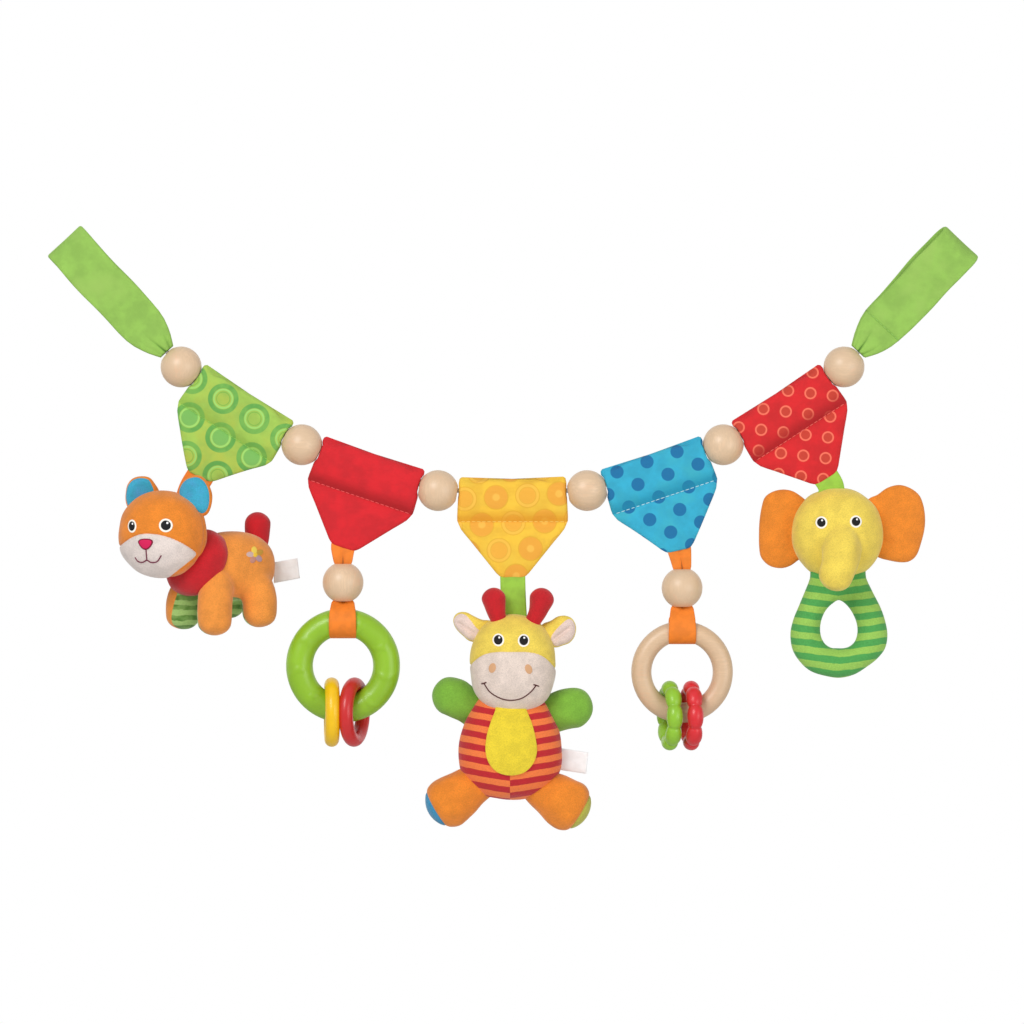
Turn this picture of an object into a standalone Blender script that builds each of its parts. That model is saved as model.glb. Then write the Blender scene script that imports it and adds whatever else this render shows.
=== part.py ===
# Pram chain toy: an elastic strand of wooden beads and padded pennants, hung between two end loops,
# with a cub, a giraffe, an elephant and two clusters of rings on ribbons below the pennants.
# Metres, +Z up, the front faces -Y. The origin lies midway between the bearing faces inside the loops.

import math

import bmesh
import bpy
import numpy as np
from mathutils import Matrix, Vector

# Clearances
GAP = 0.0003
OVERRUN = 0.002
MERGE = 0.000001

# Strand: the bead centres follow from the pitches and the slopes of the stretches between them
BEAD_DIAMETER = 0.0225
CORD_BORE = 0.007
CORD_DIAMETER = 0.0025
CORD_BEND = 0.009
CORD_STEP = 0.0073
CENTRE_PITCH = 0.082
SIDE_PITCH = 0.079
INNER_SLOPE = math.radians(18.6)
OUTER_SLOPE = math.radians(32.8)
LOOP_SLOPE = math.radians(47.0)
BEAD_SIDES = 16
BEAD_ARC_POINTS = 7

# End loops, measured along the loop from the centre of the end bead
LOOP_REACH = 0.0926
LOOP_WALL = 0.0022
LOOP_HALF_WIDTH = 0.0124
LOOP_FOLD_RADIUS = 0.006
LOOP_SEAM_REACH = 0.031
LOOP_SEAM_HALF_DEPTH = 0.0030
LOOP_NECK_HALF_WIDTH = 0.0048
LOOP_NECK_HALF_DEPTH = 0.0034
LOOP_FOLD_FACETS = 7
LOOP_GATHER_REACH_SHARE = 0.45
LOOP_GATHER_WIDTH_SHARE = 0.66
LOOP_BODY_SHARES = ((0.35, 0.66), (0.7, 0.93))

# Pennants, in the plane of each stretch: across along the cord, drop square to it
PENNANT_TOP_HALF_WIDTH = 0.0295
PENNANT_SIDE_HALF_WIDTH = 0.0308
PENNANT_TIP_HALF_WIDTH = 0.0082
PENNANT_RISE = 0.0078
PENNANT_SEAM_DROP = 0.0172
PENNANT_DROP = 0.0452
PENNANT_HALF_DEPTH = 0.0026
PENNANT_RIM = 0.0006
PENNANT_CORNER_RADIUS = 0.0035
PENNANT_PAD_SHARES = ((1.0, 0.0), (0.95, 0.6), (0.8, 1.0))
TUNNEL_CLEARANCE = 0.0004
BEAD_CLEARANCE = 0.00045

# Ribbons
RIBBON_THICKNESS = 0.0014
RIBBON_HALF_WIDTH = 0.0069
RIBBON_EDGE_SHARES = (0.9, 0.4)
RIBBON_BEAD_BORE = 0.008
RIBBON_STEM_HALF_WIDTH = 0.0034
RIBBON_STEM_HALF_DEPTH = 0.0014
RIBBON_SLACK_SHARE = 0.25
RIBBON_SLACK_WIDTH_SHARE = 0.92
RIBBON_GATHER_RISE_SHARE = 1.15
RIBBON_GATHER_WIDTH_SHARE = 1.25
RIBBON_MOUTH_RISE_SHARE = 0.9
RIBBON_STEM_END_SHARE = 0.5
RIBBON_APEX_SHARE = 0.8
LEFT_BEAD_DROP = 0.0192
RIGHT_BEAD_DROP = 0.0222
RING_RIBBON_WALL = 0.0014
RING_RIBBON_HALF_WIDTH = 0.0076
LEFT_RING_STANDOFF = 0.003
RIGHT_RING_STANDOFF = 0.0069

# Rings: the distance from a ring's centre to the centre of its tube, and the tube's radius
TEETHING_RING_RADIUS = 0.02395
TEETHING_TUBE_RADIUS = 0.00745
WOODEN_RING_RADIUS = 0.0224
WOODEN_TUBE_RADIUS = 0.0056
SMALL_RING_RADIUS = 0.0151
SMALL_TUBE_RADIUS = 0.004
FLOWER_RING_RADIUS = 0.0144
FLOWER_TUBE_RADIUS = 0.0042
FLOWER_LOBES = 8
FLOWER_LOBE_SHARE = 0.13
SMALL_RING_SPACING = 0.0124
FLOWER_RING_SPACING = 0.0136

# The section of a flat band, as shares of its half width and half depth
STRAP_SECTION_SHARES = ((1, 0.4), (0.94, 1), (-0.94, 1), (-1, 0.4), (-1, -0.4), (-0.94, -1), (0.94, -1),
                        (1, -0.4))

# Labels
LABEL_WIDTH = 0.0145
LABEL_HEIGHT = 0.014
LABEL_THICKNESS = 0.0006
LABEL_ROOT_SHARE = -0.2

# Soft joints: the room left round the ball end of a limb in its socket
SOCKET_CLEARANCE = 0.0006

# Stuffed shapes: 1 is an ellipsoid, and lower is boxier
LIMB_FULLNESS = 0.6
HORN_FULLNESS = 0.8
FLOPPY_EAR_FULLNESS = 0.75

# Cub: the head hangs from the ribbon's pennant, and the rest follows from the head and the body
CUB_HEAD_FROM_TIP = Vector((-0.0182, -0.014, -0.0325))
CUB_HEAD_HALF = (0.0242, 0.0230, 0.0239)
CUB_HEAD_TURN = math.radians(-30)
CUB_MUZZLE_FROM_HEAD = Vector((0.0005, -0.0065, -0.0102))
CUB_MUZZLE_HALF = (0.0205, 0.0190, 0.0137)
CUB_EAR_SPREAD = 0.017
CUB_EAR_BACK = 0.005
CUB_EAR_RISE = 0.0226
CUB_EAR_HALF = (0.0095, 0.0045, 0.0105)
CUB_NECK_FROM_HEAD = Vector((0.0161, 0.0130, -0.0154))
CUB_NECK_HALF = (0.0180, 0.0195, 0.0150)
CUB_BODY_FROM_HEAD = Vector((0.0370, 0.0245, -0.0176))
CUB_BODY_HALF = (0.0185, 0.0190, 0.0270)
CUB_BODY_TURN = math.radians(218)
CUB_LEG_HALF_SPREAD = 0.0135
CUB_LEG_RADIUS = 0.0093
CUB_LEG_HALF_LENGTH = 0.0165
CUB_LEG_FULLNESS = 0.5
CUB_LEG_FRONT_REACH = 0.0226
CUB_LEG_REAR_REACH = -0.0098
CUB_LEG_FRONT_DROP = 0.0214
CUB_LEG_REAR_DROP = 0.0176
CUB_TAIL_REACH = -0.0205
CUB_TAIL_RADIUS = 0.0066
CUB_TAIL_SOCKET_RADIUS = 0.0079
CUB_TAIL_LENGTH = 0.0175
CUB_TAIL_LEAN_SHARE = -0.1
CUB_TAIL_TAPER_SHARE = 0.05
CUB_LABEL_REACH_SHARE = 0.72
CUB_LABEL_DROP = 0.003
CUB_RIBBON_BOTTOM_FROM_HEAD = Vector((0.0177, 0.0200, 0.0015))

# Giraffe
GIRAFFE_HEAD_DROP = 0.0452
GIRAFFE_HEAD_HALF = (0.0232, 0.0200, 0.0225)
GIRAFFE_MUZZLE_FROM_HEAD = Vector((0.0, -0.0045, -0.0116))
GIRAFFE_MUZZLE_HALF = (0.0222, 0.0205, 0.0185)
GIRAFFE_HORN_FROM_HEAD = Vector((0.0118, -0.0078, 0.0260))
GIRAFFE_HORN_HALF = (0.0056, 0.0054, 0.0116)
GIRAFFE_HORN_LEAN = math.radians(20)
GIRAFFE_HORN_TAPER_SHARE = 0.34
GIRAFFE_EAR_FROM_HEAD = Vector((0.0262, 0.0020, 0.0145))
GIRAFFE_EAR_HALF = (0.0066, 0.0040, 0.0106)
GIRAFFE_EAR_LEAN = math.radians(68)
GIRAFFE_BODY_FROM_HEAD = Vector((-0.0012, 0.0030, -0.0525))
GIRAFFE_BODY_HALF = (0.0275, 0.0225, 0.0272)
GIRAFFE_BODY_TAPER_SHARE = -0.12
GIRAFFE_BELLY_FROM_BODY = Vector((0.0006, 0.0, 0.0036))
GIRAFFE_BELLY_HALF = (0.0144, 0.0188)
GIRAFFE_BELLY_THICKNESS = 0.0012
GIRAFFE_BELLY_NARROWING_SHARE = 0.22
GIRAFFE_BELLY_POINTS = 24
GIRAFFE_ARM_FROM_BODY = Vector((0.0218, 0.0010, 0.0165))
GIRAFFE_ARM_ROOT_RADIUS = 0.0070
GIRAFFE_ARM_LENGTH = 0.0265
GIRAFFE_ARM_HALF_DEPTH_SHARE = 0.85
GIRAFFE_ARM_SLOPE = math.radians(34)
GIRAFFE_ARM_TAPER_SHARE = 0.24
GIRAFFE_LEG_FROM_BODY = Vector((0.0200, -0.0040, -0.0204))
GIRAFFE_LEG_ROOT_RADIUS = 0.0092
GIRAFFE_LEG_SOCKET_RADIUS = 0.0105
GIRAFFE_LEG_LENGTH = 0.0285
GIRAFFE_LEG_SLOPE = math.radians(-20)
GIRAFFE_LEG_TAPER_SHARE = 0.26
GIRAFFE_SOLE_HALF = (0.0095, 0.0095, 0.0022)
GIRAFFE_SOLE_SLOPE = math.radians(-68)
GIRAFFE_SOLE_REACH_SHARE = 0.76
GIRAFFE_SOLE_DROP_SHARE = 1.2
GIRAFFE_LABEL_RISE = -0.0055

# Elephant
ELEPHANT_HEAD_FROM_TIP = Vector((0.0054, 0.0030, -0.0303))
ELEPHANT_HEAD_HALF = (0.0250, 0.0220, 0.0228)
ELEPHANT_TRUNK_DROP = 0.0322
ELEPHANT_TRUNK_PATH_SHARES = ((0.037, -0.404, -0.155), (0.037, -0.699, -0.326), (0.012, -0.854, -0.575),
                              (-0.031, -0.870, -0.814), (-0.056, -0.832, -1.0))
ELEPHANT_TRUNK_RADIUS = 0.0108
ELEPHANT_TRUNK_RADIUS_SHARES = (0.97, 1.0, 0.94, 0.87, 0.5)
ELEPHANT_EAR_HALF = (0.0155, 0.0045, 0.0212)
ELEPHANT_LEFT_EAR_FROM_HEAD = Vector((-0.0282, 0.0030, 0.0005))
ELEPHANT_RIGHT_EAR_FROM_HEAD = Vector((0.0322, 0.0030, 0.0035))
ELEPHANT_HANDLE_FROM_HEAD = Vector((0.0006, 0.0, -0.0520))
ELEPHANT_HANDLE_HALF_WIDTH = 0.0178
ELEPHANT_HANDLE_HALF_HEIGHT = 0.0212
ELEPHANT_HANDLE_PEAR_SHARE = 0.28
ELEPHANT_HANDLE_TUBE_RADIUS = 0.0082
ELEPHANT_RIBBON_BOTTOM_RISE = 0.0205
ELEPHANT_RIBBON_LEAN_SHARE = 0.5


def linear(red, green, blue):
    """The linear colour of an 8-bit screen colour."""
    shades = np.array((red, green, blue)) / 255
    values = np.where(shades <= 0.04045, shades / 12.92, ((shades + 0.055) / 1.055) ** 2.4)
    return (*values.tolist(), 1.0)


def finish(name, colour, roughness):
    """A Principled material with the piece's colour and roughness."""
    material = bpy.data.materials.new(name)
    material.use_nodes = True
    shader = material.node_tree.nodes["Principled BSDF"]
    shader.inputs["Base Color"].default_value = linear(*colour)
    shader.inputs["Roughness"].default_value = roughness
    shader.inputs["Metallic"].default_value = 0.0
    material.diffuse_color = linear(*colour)
    return material


def clear_scene():
    for obj in list(bpy.data.objects):
        bpy.data.objects.remove(obj, do_unlink=True)


def place(name, mesh, material, smooth=True):
    obj = bpy.data.objects.new(name, mesh)
    bpy.context.scene.collection.objects.link(obj)
    if material is not None:
        mesh.materials.append(material)
    if smooth:
        mesh.shade_smooth()
        mesh.set_sharp_from_angle(angle=math.radians(40))
    return obj


def as_helper(obj):
    """A cutter or a shape to join: it isn't part of the toy."""
    obj.hide_render = True
    obj.display_type = "WIRE"
    return obj


def pivot(obj, point):
    """Moves the object's origin to the point and leaves its shape in place."""
    obj.data.transform(Matrix.Translation(obj.location - Vector(point)))
    obj.location = point
    return obj


def skin(name, rings, material, looped=False, tube=True):
    """A closed mesh over rings of points, given as an array of ring, side and coordinate. The end rings are
    filled, unless the rings run round in a loop."""
    count, sides = rings.shape[:2]
    faces = []
    for ring in range(count if looped else count - 1):
        following = (ring + 1) % count
        for side in range(sides):
            beside = (side + 1) % sides
            low, high = ring * sides, following * sides
            faces.append((low + side, low + beside, high + beside, high + side))
    if not looped:
        faces.append(tuple(range(sides)))
        faces.append(tuple((count - 1) * sides + side for side in range(sides)))
    mesh = bpy.data.meshes.new(name)
    mesh.from_pydata(rings.reshape(-1, 3).tolist(), [], faces)
    shape = bmesh.new()
    shape.from_mesh(mesh)
    bmesh.ops.remove_doubles(shape, verts=shape.verts, dist=MERGE)
    bmesh.ops.recalc_face_normals(shape, faces=shape.faces)
    shape.to_mesh(mesh)
    shape.free()
    return place(name, mesh, material, smooth=tube)


def boolean(obj, other, operation):
    modifier = obj.modifiers.new(other.name, "BOOLEAN")
    modifier.operation = operation
    modifier.solver = "EXACT"
    modifier.object = other


def cut(obj, cutter):
    boolean(obj, as_helper(cutter), "DIFFERENCE")


def join(obj, other):
    boolean(obj, as_helper(other), "UNION")


def grown(piece, margin):
    """A helper with the piece's own shape, each point moved out along its normal by the margin."""
    mesh = piece.data.copy()
    mesh.materials.clear()
    shape = bmesh.new()
    shape.from_mesh(mesh)
    shape.normal_update()
    moves = [point.normal * margin for point in shape.verts]
    for point, move in zip(shape.verts, moves):
        point.co += move
    shape.to_mesh(mesh)
    shape.free()
    cutter = bpy.data.objects.new(piece.name + "_room", mesh)
    cutter.location = piece.location
    bpy.context.scene.collection.objects.link(cutter)
    return as_helper(cutter)


def make_room(obj, *larger):
    """Cuts the object back to the gap from each of the larger pieces that it meets."""
    for piece in larger:
        cut(obj, grown(piece, GAP))


def frame_of(along, across=Vector((0, 1, 0))):
    """A turn whose Z runs along the first direction and whose Y lies as near as it can to the second."""
    z = Vector(along).normalized()
    x = Vector(across).cross(z).normalized()
    return Matrix((x, z.cross(x), z)).transposed()


def lump(name, material, centre, half_sizes, turn=Matrix.Identity(3), taper_share=0.0, fullness=1.0,
         rings=9, sides=16):
    """A stuffed shape: an ellipsoid about its own Z, wider at the top by the taper, boxier under 1."""
    half = np.array(half_sizes)
    heights = -np.cos(np.linspace(0, math.pi, rings + 1))
    radii = np.sqrt(np.clip(1 - heights**2, 0, 1)) ** fullness * (1 + taper_share * heights)
    angles = np.linspace(0, 2 * math.pi, sides, endpoint=False)
    points = np.zeros((rings + 1, sides, 3))
    points[:, :, 0] = half[0] * radii[:, None] * np.cos(angles)
    points[:, :, 1] = half[1] * radii[:, None] * np.sin(angles)
    points[:, :, 2] = half[2] * heights[:, None]
    points = points @ np.array(turn).T + np.array(centre)
    return pivot(skin(name, points, material), centre)


def torus(name, material, centre, axis, ring_radius, tube_radii, around, sides):
    """A ring about an axis, whose tube radius may change on the way round."""
    turn = np.array(frame_of(axis, across=Vector((0, 0, 1))))
    ways = np.linspace(0, 2 * math.pi, around, endpoint=False)
    angles = np.linspace(0, 2 * math.pi, sides, endpoint=False)
    radii = np.broadcast_to(tube_radii, ways.shape)[:, None]
    reach = ring_radius + radii * np.cos(angles)
    points = np.stack([reach * np.sin(ways)[:, None], reach * np.cos(ways)[:, None],
                       radii * np.sin(angles)], axis=-1)
    points = points @ turn.T + np.array(centre)
    return pivot(skin(name, points, material, looped=True), centre)


def strap(name, material, rows):
    """A flat band through rows of centre, half width and half depth vectors, with eight-sided sections."""
    points = [[centre + width * across + depth * through for across, through in STRAP_SECTION_SHARES]
              for centre, width, depth in rows]
    return skin(name, np.array(points), material, tube=False)


def clothes():
    """The finishes of the toy, by name."""
    return {
        "beech": finish("beech", (228, 202, 168), 0.45),
        "green_cloth": finish("green_cloth", (160, 203, 90), 0.9),
        "red_cloth": finish("red_cloth", (217, 41, 52), 0.85),
        "yellow_cloth": finish("yellow_cloth", (247, 196, 58), 0.85),
        "blue_cloth": finish("blue_cloth", (65, 178, 211), 0.85),
        "elastic": finish("elastic", (235, 232, 225), 0.9),
        "orange_ribbon": finish("orange_ribbon", (234, 131, 44), 0.6),
        "green_ribbon": finish("green_ribbon", (140, 200, 75), 0.6),
        "green_plastic": finish("green_plastic", (159, 200, 65), 0.35),
        "yellow_plastic": finish("yellow_plastic", (253, 206, 46), 0.35),
        "red_plastic": finish("red_plastic", (212, 66, 56), 0.35),
        "orange_plush": finish("orange_plush", (238, 140, 51), 0.95),
        "red_plush": finish("red_plush", (204, 32, 46), 0.95),
        "blue_plush": finish("blue_plush", (58, 164, 182), 0.95),
        "green_plush": finish("green_plush", (125, 190, 63), 0.95),
        "yellow_plush": finish("yellow_plush", (247, 214, 107), 0.95),
        "cream_plush": finish("cream_plush", (229, 214, 200), 0.95),
        "striped_cloth": finish("striped_cloth", (216, 78, 52), 0.9),
        "green_striped_cloth": finish("green_striped_cloth", (120, 186, 80), 0.9),
        "label_tape": finish("label_tape", (245, 240, 236), 0.8),
    }


def direction(slope):
    """A unit vector in the front plane, that many radians above +X."""
    return Vector((math.cos(slope), 0, math.sin(slope)))


def strand_slopes():
    return (-LOOP_SLOPE, -OUTER_SLOPE, -INNER_SLOPE, 0.0, INNER_SLOPE, OUTER_SLOPE, LOOP_SLOPE)


def bead_centres():
    """The six beads from left to right, hung below the bearing faces of the loops, which lie at z = 0."""
    half_span = CENTRE_PITCH / 2 + SIDE_PITCH * (math.cos(INNER_SLOPE) + math.cos(OUTER_SLOPE))
    place_now = Vector((-half_span, 0, -LOOP_REACH * math.sin(LOOP_SLOPE)))
    pitches = (SIDE_PITCH, SIDE_PITCH, CENTRE_PITCH, SIDE_PITCH, SIDE_PITCH)
    centres = [place_now]
    for pitch, slope in zip(pitches, strand_slopes()[1:-1]):
        place_now = place_now + pitch * direction(slope)
        centres.append(place_now)
    return centres


def add_bead(name, material, centre, axis, bore):
    """A turned ball with a straight bore along its axis."""
    radius = BEAD_DIAMETER / 2
    mouth = math.asin(bore / BEAD_DIAMETER)
    swing = np.linspace(mouth, math.pi - mouth, BEAD_ARC_POINTS)
    ways = np.linspace(0, 2 * math.pi, BEAD_SIDES, endpoint=False)[:, None]
    points = np.stack([radius * np.sin(swing) * np.cos(ways), radius * np.sin(swing) * np.sin(ways),
                       radius * np.cos(swing) * np.ones_like(ways)], axis=-1)
    points = points @ np.array(frame_of(axis)).T + np.array(centre)
    return pivot(skin(name, points, material, looped=True), centre)


def ball(name, centre, radius):
    """A helper ball."""
    return as_helper(lump(name, None, centre, (radius, radius, radius), rings=14, sides=24))


def cord_route(centres):
    """Straight inside each pennant and rounded inside each bead, from one loop's neck to the other's."""
    slopes = strand_slopes()
    reach = BEAD_DIAMETER / 2
    route = [centres[0] - reach * direction(slopes[0])]
    for index, centre in enumerate(centres):
        start = centre - CORD_BEND * direction(slopes[index])
        end = centre + CORD_BEND * direction(slopes[index + 1])
        if index:
            steps = round((start - route[-1]).length / CORD_STEP)
            route += [route[-1].lerp(start, step / steps) for step in range(1, steps)]
        for way in (0.0, 0.33, 0.67, 1.0):
            route.append(start.lerp(centre, way).lerp(centre.lerp(end, way), way))
    route.append(centres[-1] + reach * direction(slopes[-1]))
    return route


def add_cord(material, centres):
    points = cord_route(centres)
    curve = bpy.data.curves.new("elastic_cord", "CURVE")
    curve.dimensions = "3D"
    curve.bevel_depth = CORD_DIAMETER / 2
    curve.bevel_resolution = 2
    curve.use_fill_caps = True
    spline = curve.splines.new("POLY")
    spline.points.add(len(points) - 1)
    for point, spot in zip(spline.points, points):
        point.co = (*spot, 1)
    curve.materials.append(material)
    cord = bpy.data.objects.new("elastic_cord", curve)
    bpy.context.scene.collection.objects.link(cord)
    return cord


def loop_rows():
    """Half width and half depth of the padded loop along its length, from the bead to the outer fold."""
    outer = LOOP_FOLD_RADIUS + LOOP_WALL
    fold = LOOP_REACH - LOOP_FOLD_RADIUS
    neck = BEAD_DIAMETER / 2 + GAP
    seam = LOOP_SEAM_REACH
    rows = [(neck, LOOP_NECK_HALF_WIDTH, LOOP_NECK_HALF_DEPTH),
            (neck + (seam - neck) * LOOP_GATHER_REACH_SHARE, LOOP_HALF_WIDTH * LOOP_GATHER_WIDTH_SHARE,
             LOOP_NECK_HALF_DEPTH),
            (seam, LOOP_HALF_WIDTH, LOOP_SEAM_HALF_DEPTH)]
    for reach_share, depth_share in LOOP_BODY_SHARES:
        rows.append((seam + (fold - seam) * reach_share, LOOP_HALF_WIDTH, outer * depth_share))
    step = math.pi / LOOP_FOLD_FACETS
    for facet in range((LOOP_FOLD_FACETS + 1) // 2):
        rows.append((fold + outer * math.sin(facet * step), LOOP_HALF_WIDTH, outer * math.cos(facet * step)))
    return rows


def loop_hollow(axis, across, centre):
    """The space inside the loop, with a flat bearing face square to the loop at the middle of the fold."""
    through = Vector((0, 1, 0))
    fold = LOOP_REACH - LOOP_FOLD_RADIUS
    profile = [(LOOP_SEAM_REACH, 0.0)]
    for reach, _, depth in loop_rows()[3:5]:
        profile.append((reach, depth - LOOP_WALL))
    facet = math.pi / LOOP_FOLD_FACETS
    radius = LOOP_FOLD_RADIUS / math.cos(facet / 2)
    for turn in range(LOOP_FOLD_FACETS // 2 + 1):
        angle = facet / 2 + facet * (LOOP_FOLD_FACETS // 2 - turn)
        profile.append((fold + radius * math.cos(angle), radius * math.sin(angle)))
    profile += [(reach, -depth) for reach, depth in reversed(profile[1:])]
    half = LOOP_HALF_WIDTH + OVERRUN
    rings = [[centre + axis * reach + through * depth + across * side for reach, depth in profile]
             for side in (-half, half)]
    return as_helper(skin("loop_hollow", np.array(rings), None, tube=False))


def add_loop(name, material, centre, side):
    """A padded band folded back on itself, gathered into a neck at the end bead."""
    axis = Vector((side * math.cos(LOOP_SLOPE), 0, math.sin(LOOP_SLOPE)))
    across = Vector((side * math.sin(LOOP_SLOPE), 0, -math.cos(LOOP_SLOPE)))
    rows = [(centre + axis * reach, across * width, Vector((0, depth, 0)))
            for reach, width, depth in loop_rows()]
    loop = strap(name, material, rows)
    cut(loop, loop_hollow(axis, across, centre))
    return loop


def rounded(corners, radius, steps):
    """The outline with each corner replaced by an arc-like curve of the given reach."""
    points = []
    for index, corner in enumerate(corners):
        before = corner.lerp(corners[index - 1], radius / (corner - corners[index - 1]).length)
        following = corners[(index + 1) % len(corners)]
        after = corner.lerp(following, radius / (corner - following).length)
        for way in np.linspace(0, 1, steps):
            points.append(before.lerp(corner, way).lerp(corner.lerp(after, way), way))
    return points


def pennant_outline():
    """Across and drop of the pennant's corners, clockwise from the upper left, with rounded corners."""
    half = [(PENNANT_TOP_HALF_WIDTH, PENNANT_RISE), (PENNANT_SIDE_HALF_WIDTH, -PENNANT_SEAM_DROP),
            (PENNANT_TIP_HALF_WIDTH, -PENNANT_DROP)]
    corners = [Vector((-half[0][0], half[0][1]))] + [Vector(spot) for spot in half]
    corners += [Vector((-across, drop)) for across, drop in reversed(half[1:])]
    return rounded(corners, PENNANT_CORNER_RADIUS, 3)


def tunnel(name, start, end, radius):
    """A helper rod a little longer than the stretch between the two points."""
    along = (end - start).normalized()
    turn = frame_of(along)
    angles = np.linspace(0, 2 * math.pi, 12, endpoint=False)
    section = [turn @ Vector((radius * math.cos(angle), radius * math.sin(angle), 0)) for angle in angles]
    rings = [[spot + point for point in section] for spot in (start, end)]
    return as_helper(skin(name, np.array(rings), None))


def add_pennant(name, material, left, right):
    """A padded flag on the cord between two beads, tunnelled for the cord, its sides clear of the beads."""
    middle = (left + right) / 2
    along = (right - left).normalized()
    up = Vector((-along.z, 0, along.x))
    centre = Vector((0, (PENNANT_RISE - PENNANT_SEAM_DROP) / 2))
    layers = []
    for scale, depth_share in reversed(PENNANT_PAD_SHARES):
        depth = PENNANT_RIM + (PENNANT_HALF_DEPTH - PENNANT_RIM) * depth_share
        layers.append((scale, -depth))
    layers += [(scale, -depth) for scale, depth in reversed(layers)]
    rings = []
    for scale, depth in layers:
        spots = [centre + (spot - centre) * scale for spot in pennant_outline()]
        rings.append([middle + along * spot.x + up * spot.y + Vector((0, depth, 0)) for spot in spots])
    pennant = skin(name, np.array(rings), material, tube=False)
    pivot(pennant, middle)
    cut(pennant, tunnel(name + "_tunnel", left, right, CORD_DIAMETER / 2 + TUNNEL_CLEARANCE))
    for end in (left, right):
        cut(pennant, ball(name + "_bead_room", end, BEAD_DIAMETER / 2 + BEAD_CLEARANCE))
    return pennant


def tip_of(left, right):
    """The middle of a pennant's lower edge, and the direction of that edge."""
    along = (right - left).normalized()
    down = Vector((along.z, 0, -along.x))
    return (left + right) / 2 + down * PENNANT_DROP, along


def ribbon_axis(tip, along):
    """The line that a ribbon swings about: its rounded upper edge, a gap below the pennant."""
    down = Vector((along.z, 0, -along.x))
    return tip + down * (GAP + RIBBON_THICKNESS / 2)


def ribbon_rows(top, along, stations):
    """Rows of a ribbon, from its rounded upper edge on the swing axis down through the given stations.
    Each is a centre, a half width and a half depth."""
    half = RIBBON_THICKNESS / 2
    rise_share, depth_share = RIBBON_EDGE_SHARES
    rise = Vector((-along.z, 0, along.x)) * half
    rows = [(top + rise * rise_share, along * RIBBON_HALF_WIDTH, Vector((0, half * depth_share, 0))),
            (top, along * RIBBON_HALF_WIDTH, Vector((0, half, 0)))]
    for centre, width, depth in stations:
        rows.append((centre, Vector((width, 0, 0)), Vector((0, depth, 0))))
    return rows


def add_ribbon(name, material, tip, along, bottom):
    """A flat ribbon from a pennant's tip to the piece below it."""
    top = ribbon_axis(tip, along)
    stations = [(top.lerp(bottom, way), RIBBON_HALF_WIDTH, RIBBON_THICKNESS / 2) for way in (0.5, 1.0)]
    ribbon = strap(name, material, ribbon_rows(top, along, stations))
    return pivot(ribbon, top)


def add_ring_ribbon(name, material, tip, along, bead, ring, standoff):
    """A ribbon gathered through its bead and sewn into a loop round the tube of the big ring below."""
    top = ribbon_axis(tip, along)
    radius = BEAD_DIAMETER / 2
    down = Vector((0, 0, -1))
    stations = [(top.lerp(bead, RIBBON_SLACK_SHARE), RIBBON_HALF_WIDTH * RIBBON_SLACK_WIDTH_SHARE,
                 RIBBON_THICKNESS / 2),
                (bead - down * radius * RIBBON_GATHER_RISE_SHARE,
                 RIBBON_STEM_HALF_WIDTH * RIBBON_GATHER_WIDTH_SHARE, RIBBON_STEM_HALF_DEPTH),
                (bead - down * radius * RIBBON_MOUTH_RISE_SHARE, RIBBON_STEM_HALF_WIDTH,
                 RIBBON_STEM_HALF_DEPTH),
                (bead + down * (radius + standoff * RIBBON_STEM_END_SHARE), RIBBON_STEM_HALF_WIDTH,
                 RIBBON_STEM_HALF_DEPTH)]
    ribbon = strap(name, material, ribbon_rows(top, along, stations))
    pivot(ribbon, top)
    wrap = ring_wrap(name + "_wrap", bead, ring)
    cut(wrap, ball(name + "_bead_room", bead, radius + BEAD_CLEARANCE))
    join(ribbon, wrap)
    cut(ribbon, grown(ring, GAP))
    return ribbon


def ring_wrap(name, bead, ring):
    """The ribbon's loop before the ring's tube is cut out of it: a drop shape across the tube."""
    tube = ring["tube_radius"]
    wall = tube + GAP + RING_RIBBON_WALL
    middle = Vector(ring.location) + Vector((0, 0, ring["ring_radius"]))
    apex = bead.z - BEAD_DIAMETER / 2 * RIBBON_APEX_SHARE - middle.z
    tangent = math.asin(wall / apex)
    profile = [(0.0, apex)]
    for angle in np.linspace(tangent, -math.pi - tangent, 14):
        profile.append((wall * math.cos(angle), wall * math.sin(angle)))
    rings = [[middle + Vector((side * RING_RIBBON_HALF_WIDTH, depth, height)) for depth, height in profile]
             for side in (-1, 1)]
    return as_helper(skin(name, np.array(rings), None, tube=False))


def add_big_ring(name, material, bead, standoff, ring_radius, tube_radius):
    """A ring that hangs in a ribbon's loop below the ribbon's bead and turns through it."""
    drop = BEAD_DIAMETER / 2 + standoff + tube_radius + ring_radius
    centre = bead - Vector((0, 0, drop))
    ring = torus(name, material, centre, Vector((0, 1, 0)), ring_radius, tube_radius, 36, 10)
    ring["ring_radius"] = ring_radius
    ring["tube_radius"] = tube_radius
    return ring


def hang_place(big, spacing, ring_radius, tube_radius):
    """The centre of a small ring that rests inside the big ring's tube, to one side of the middle."""
    inside = big["ring_radius"] - big["tube_radius"] - GAP - tube_radius
    drop = math.sqrt(inside**2 - spacing**2) + ring_radius
    return Vector(big.location) + Vector((spacing, 0, -drop))


def hang_together(animal, tip, along, jointed):
    """Puts the origins of the animal's pieces on the ribbon's swing axis. The jointed ones keep theirs."""
    for obj in list(bpy.data.objects):
        if obj.name.startswith(animal) and not obj.hide_render and obj.name not in jointed:
            pivot(obj, ribbon_axis(tip, along))


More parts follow.
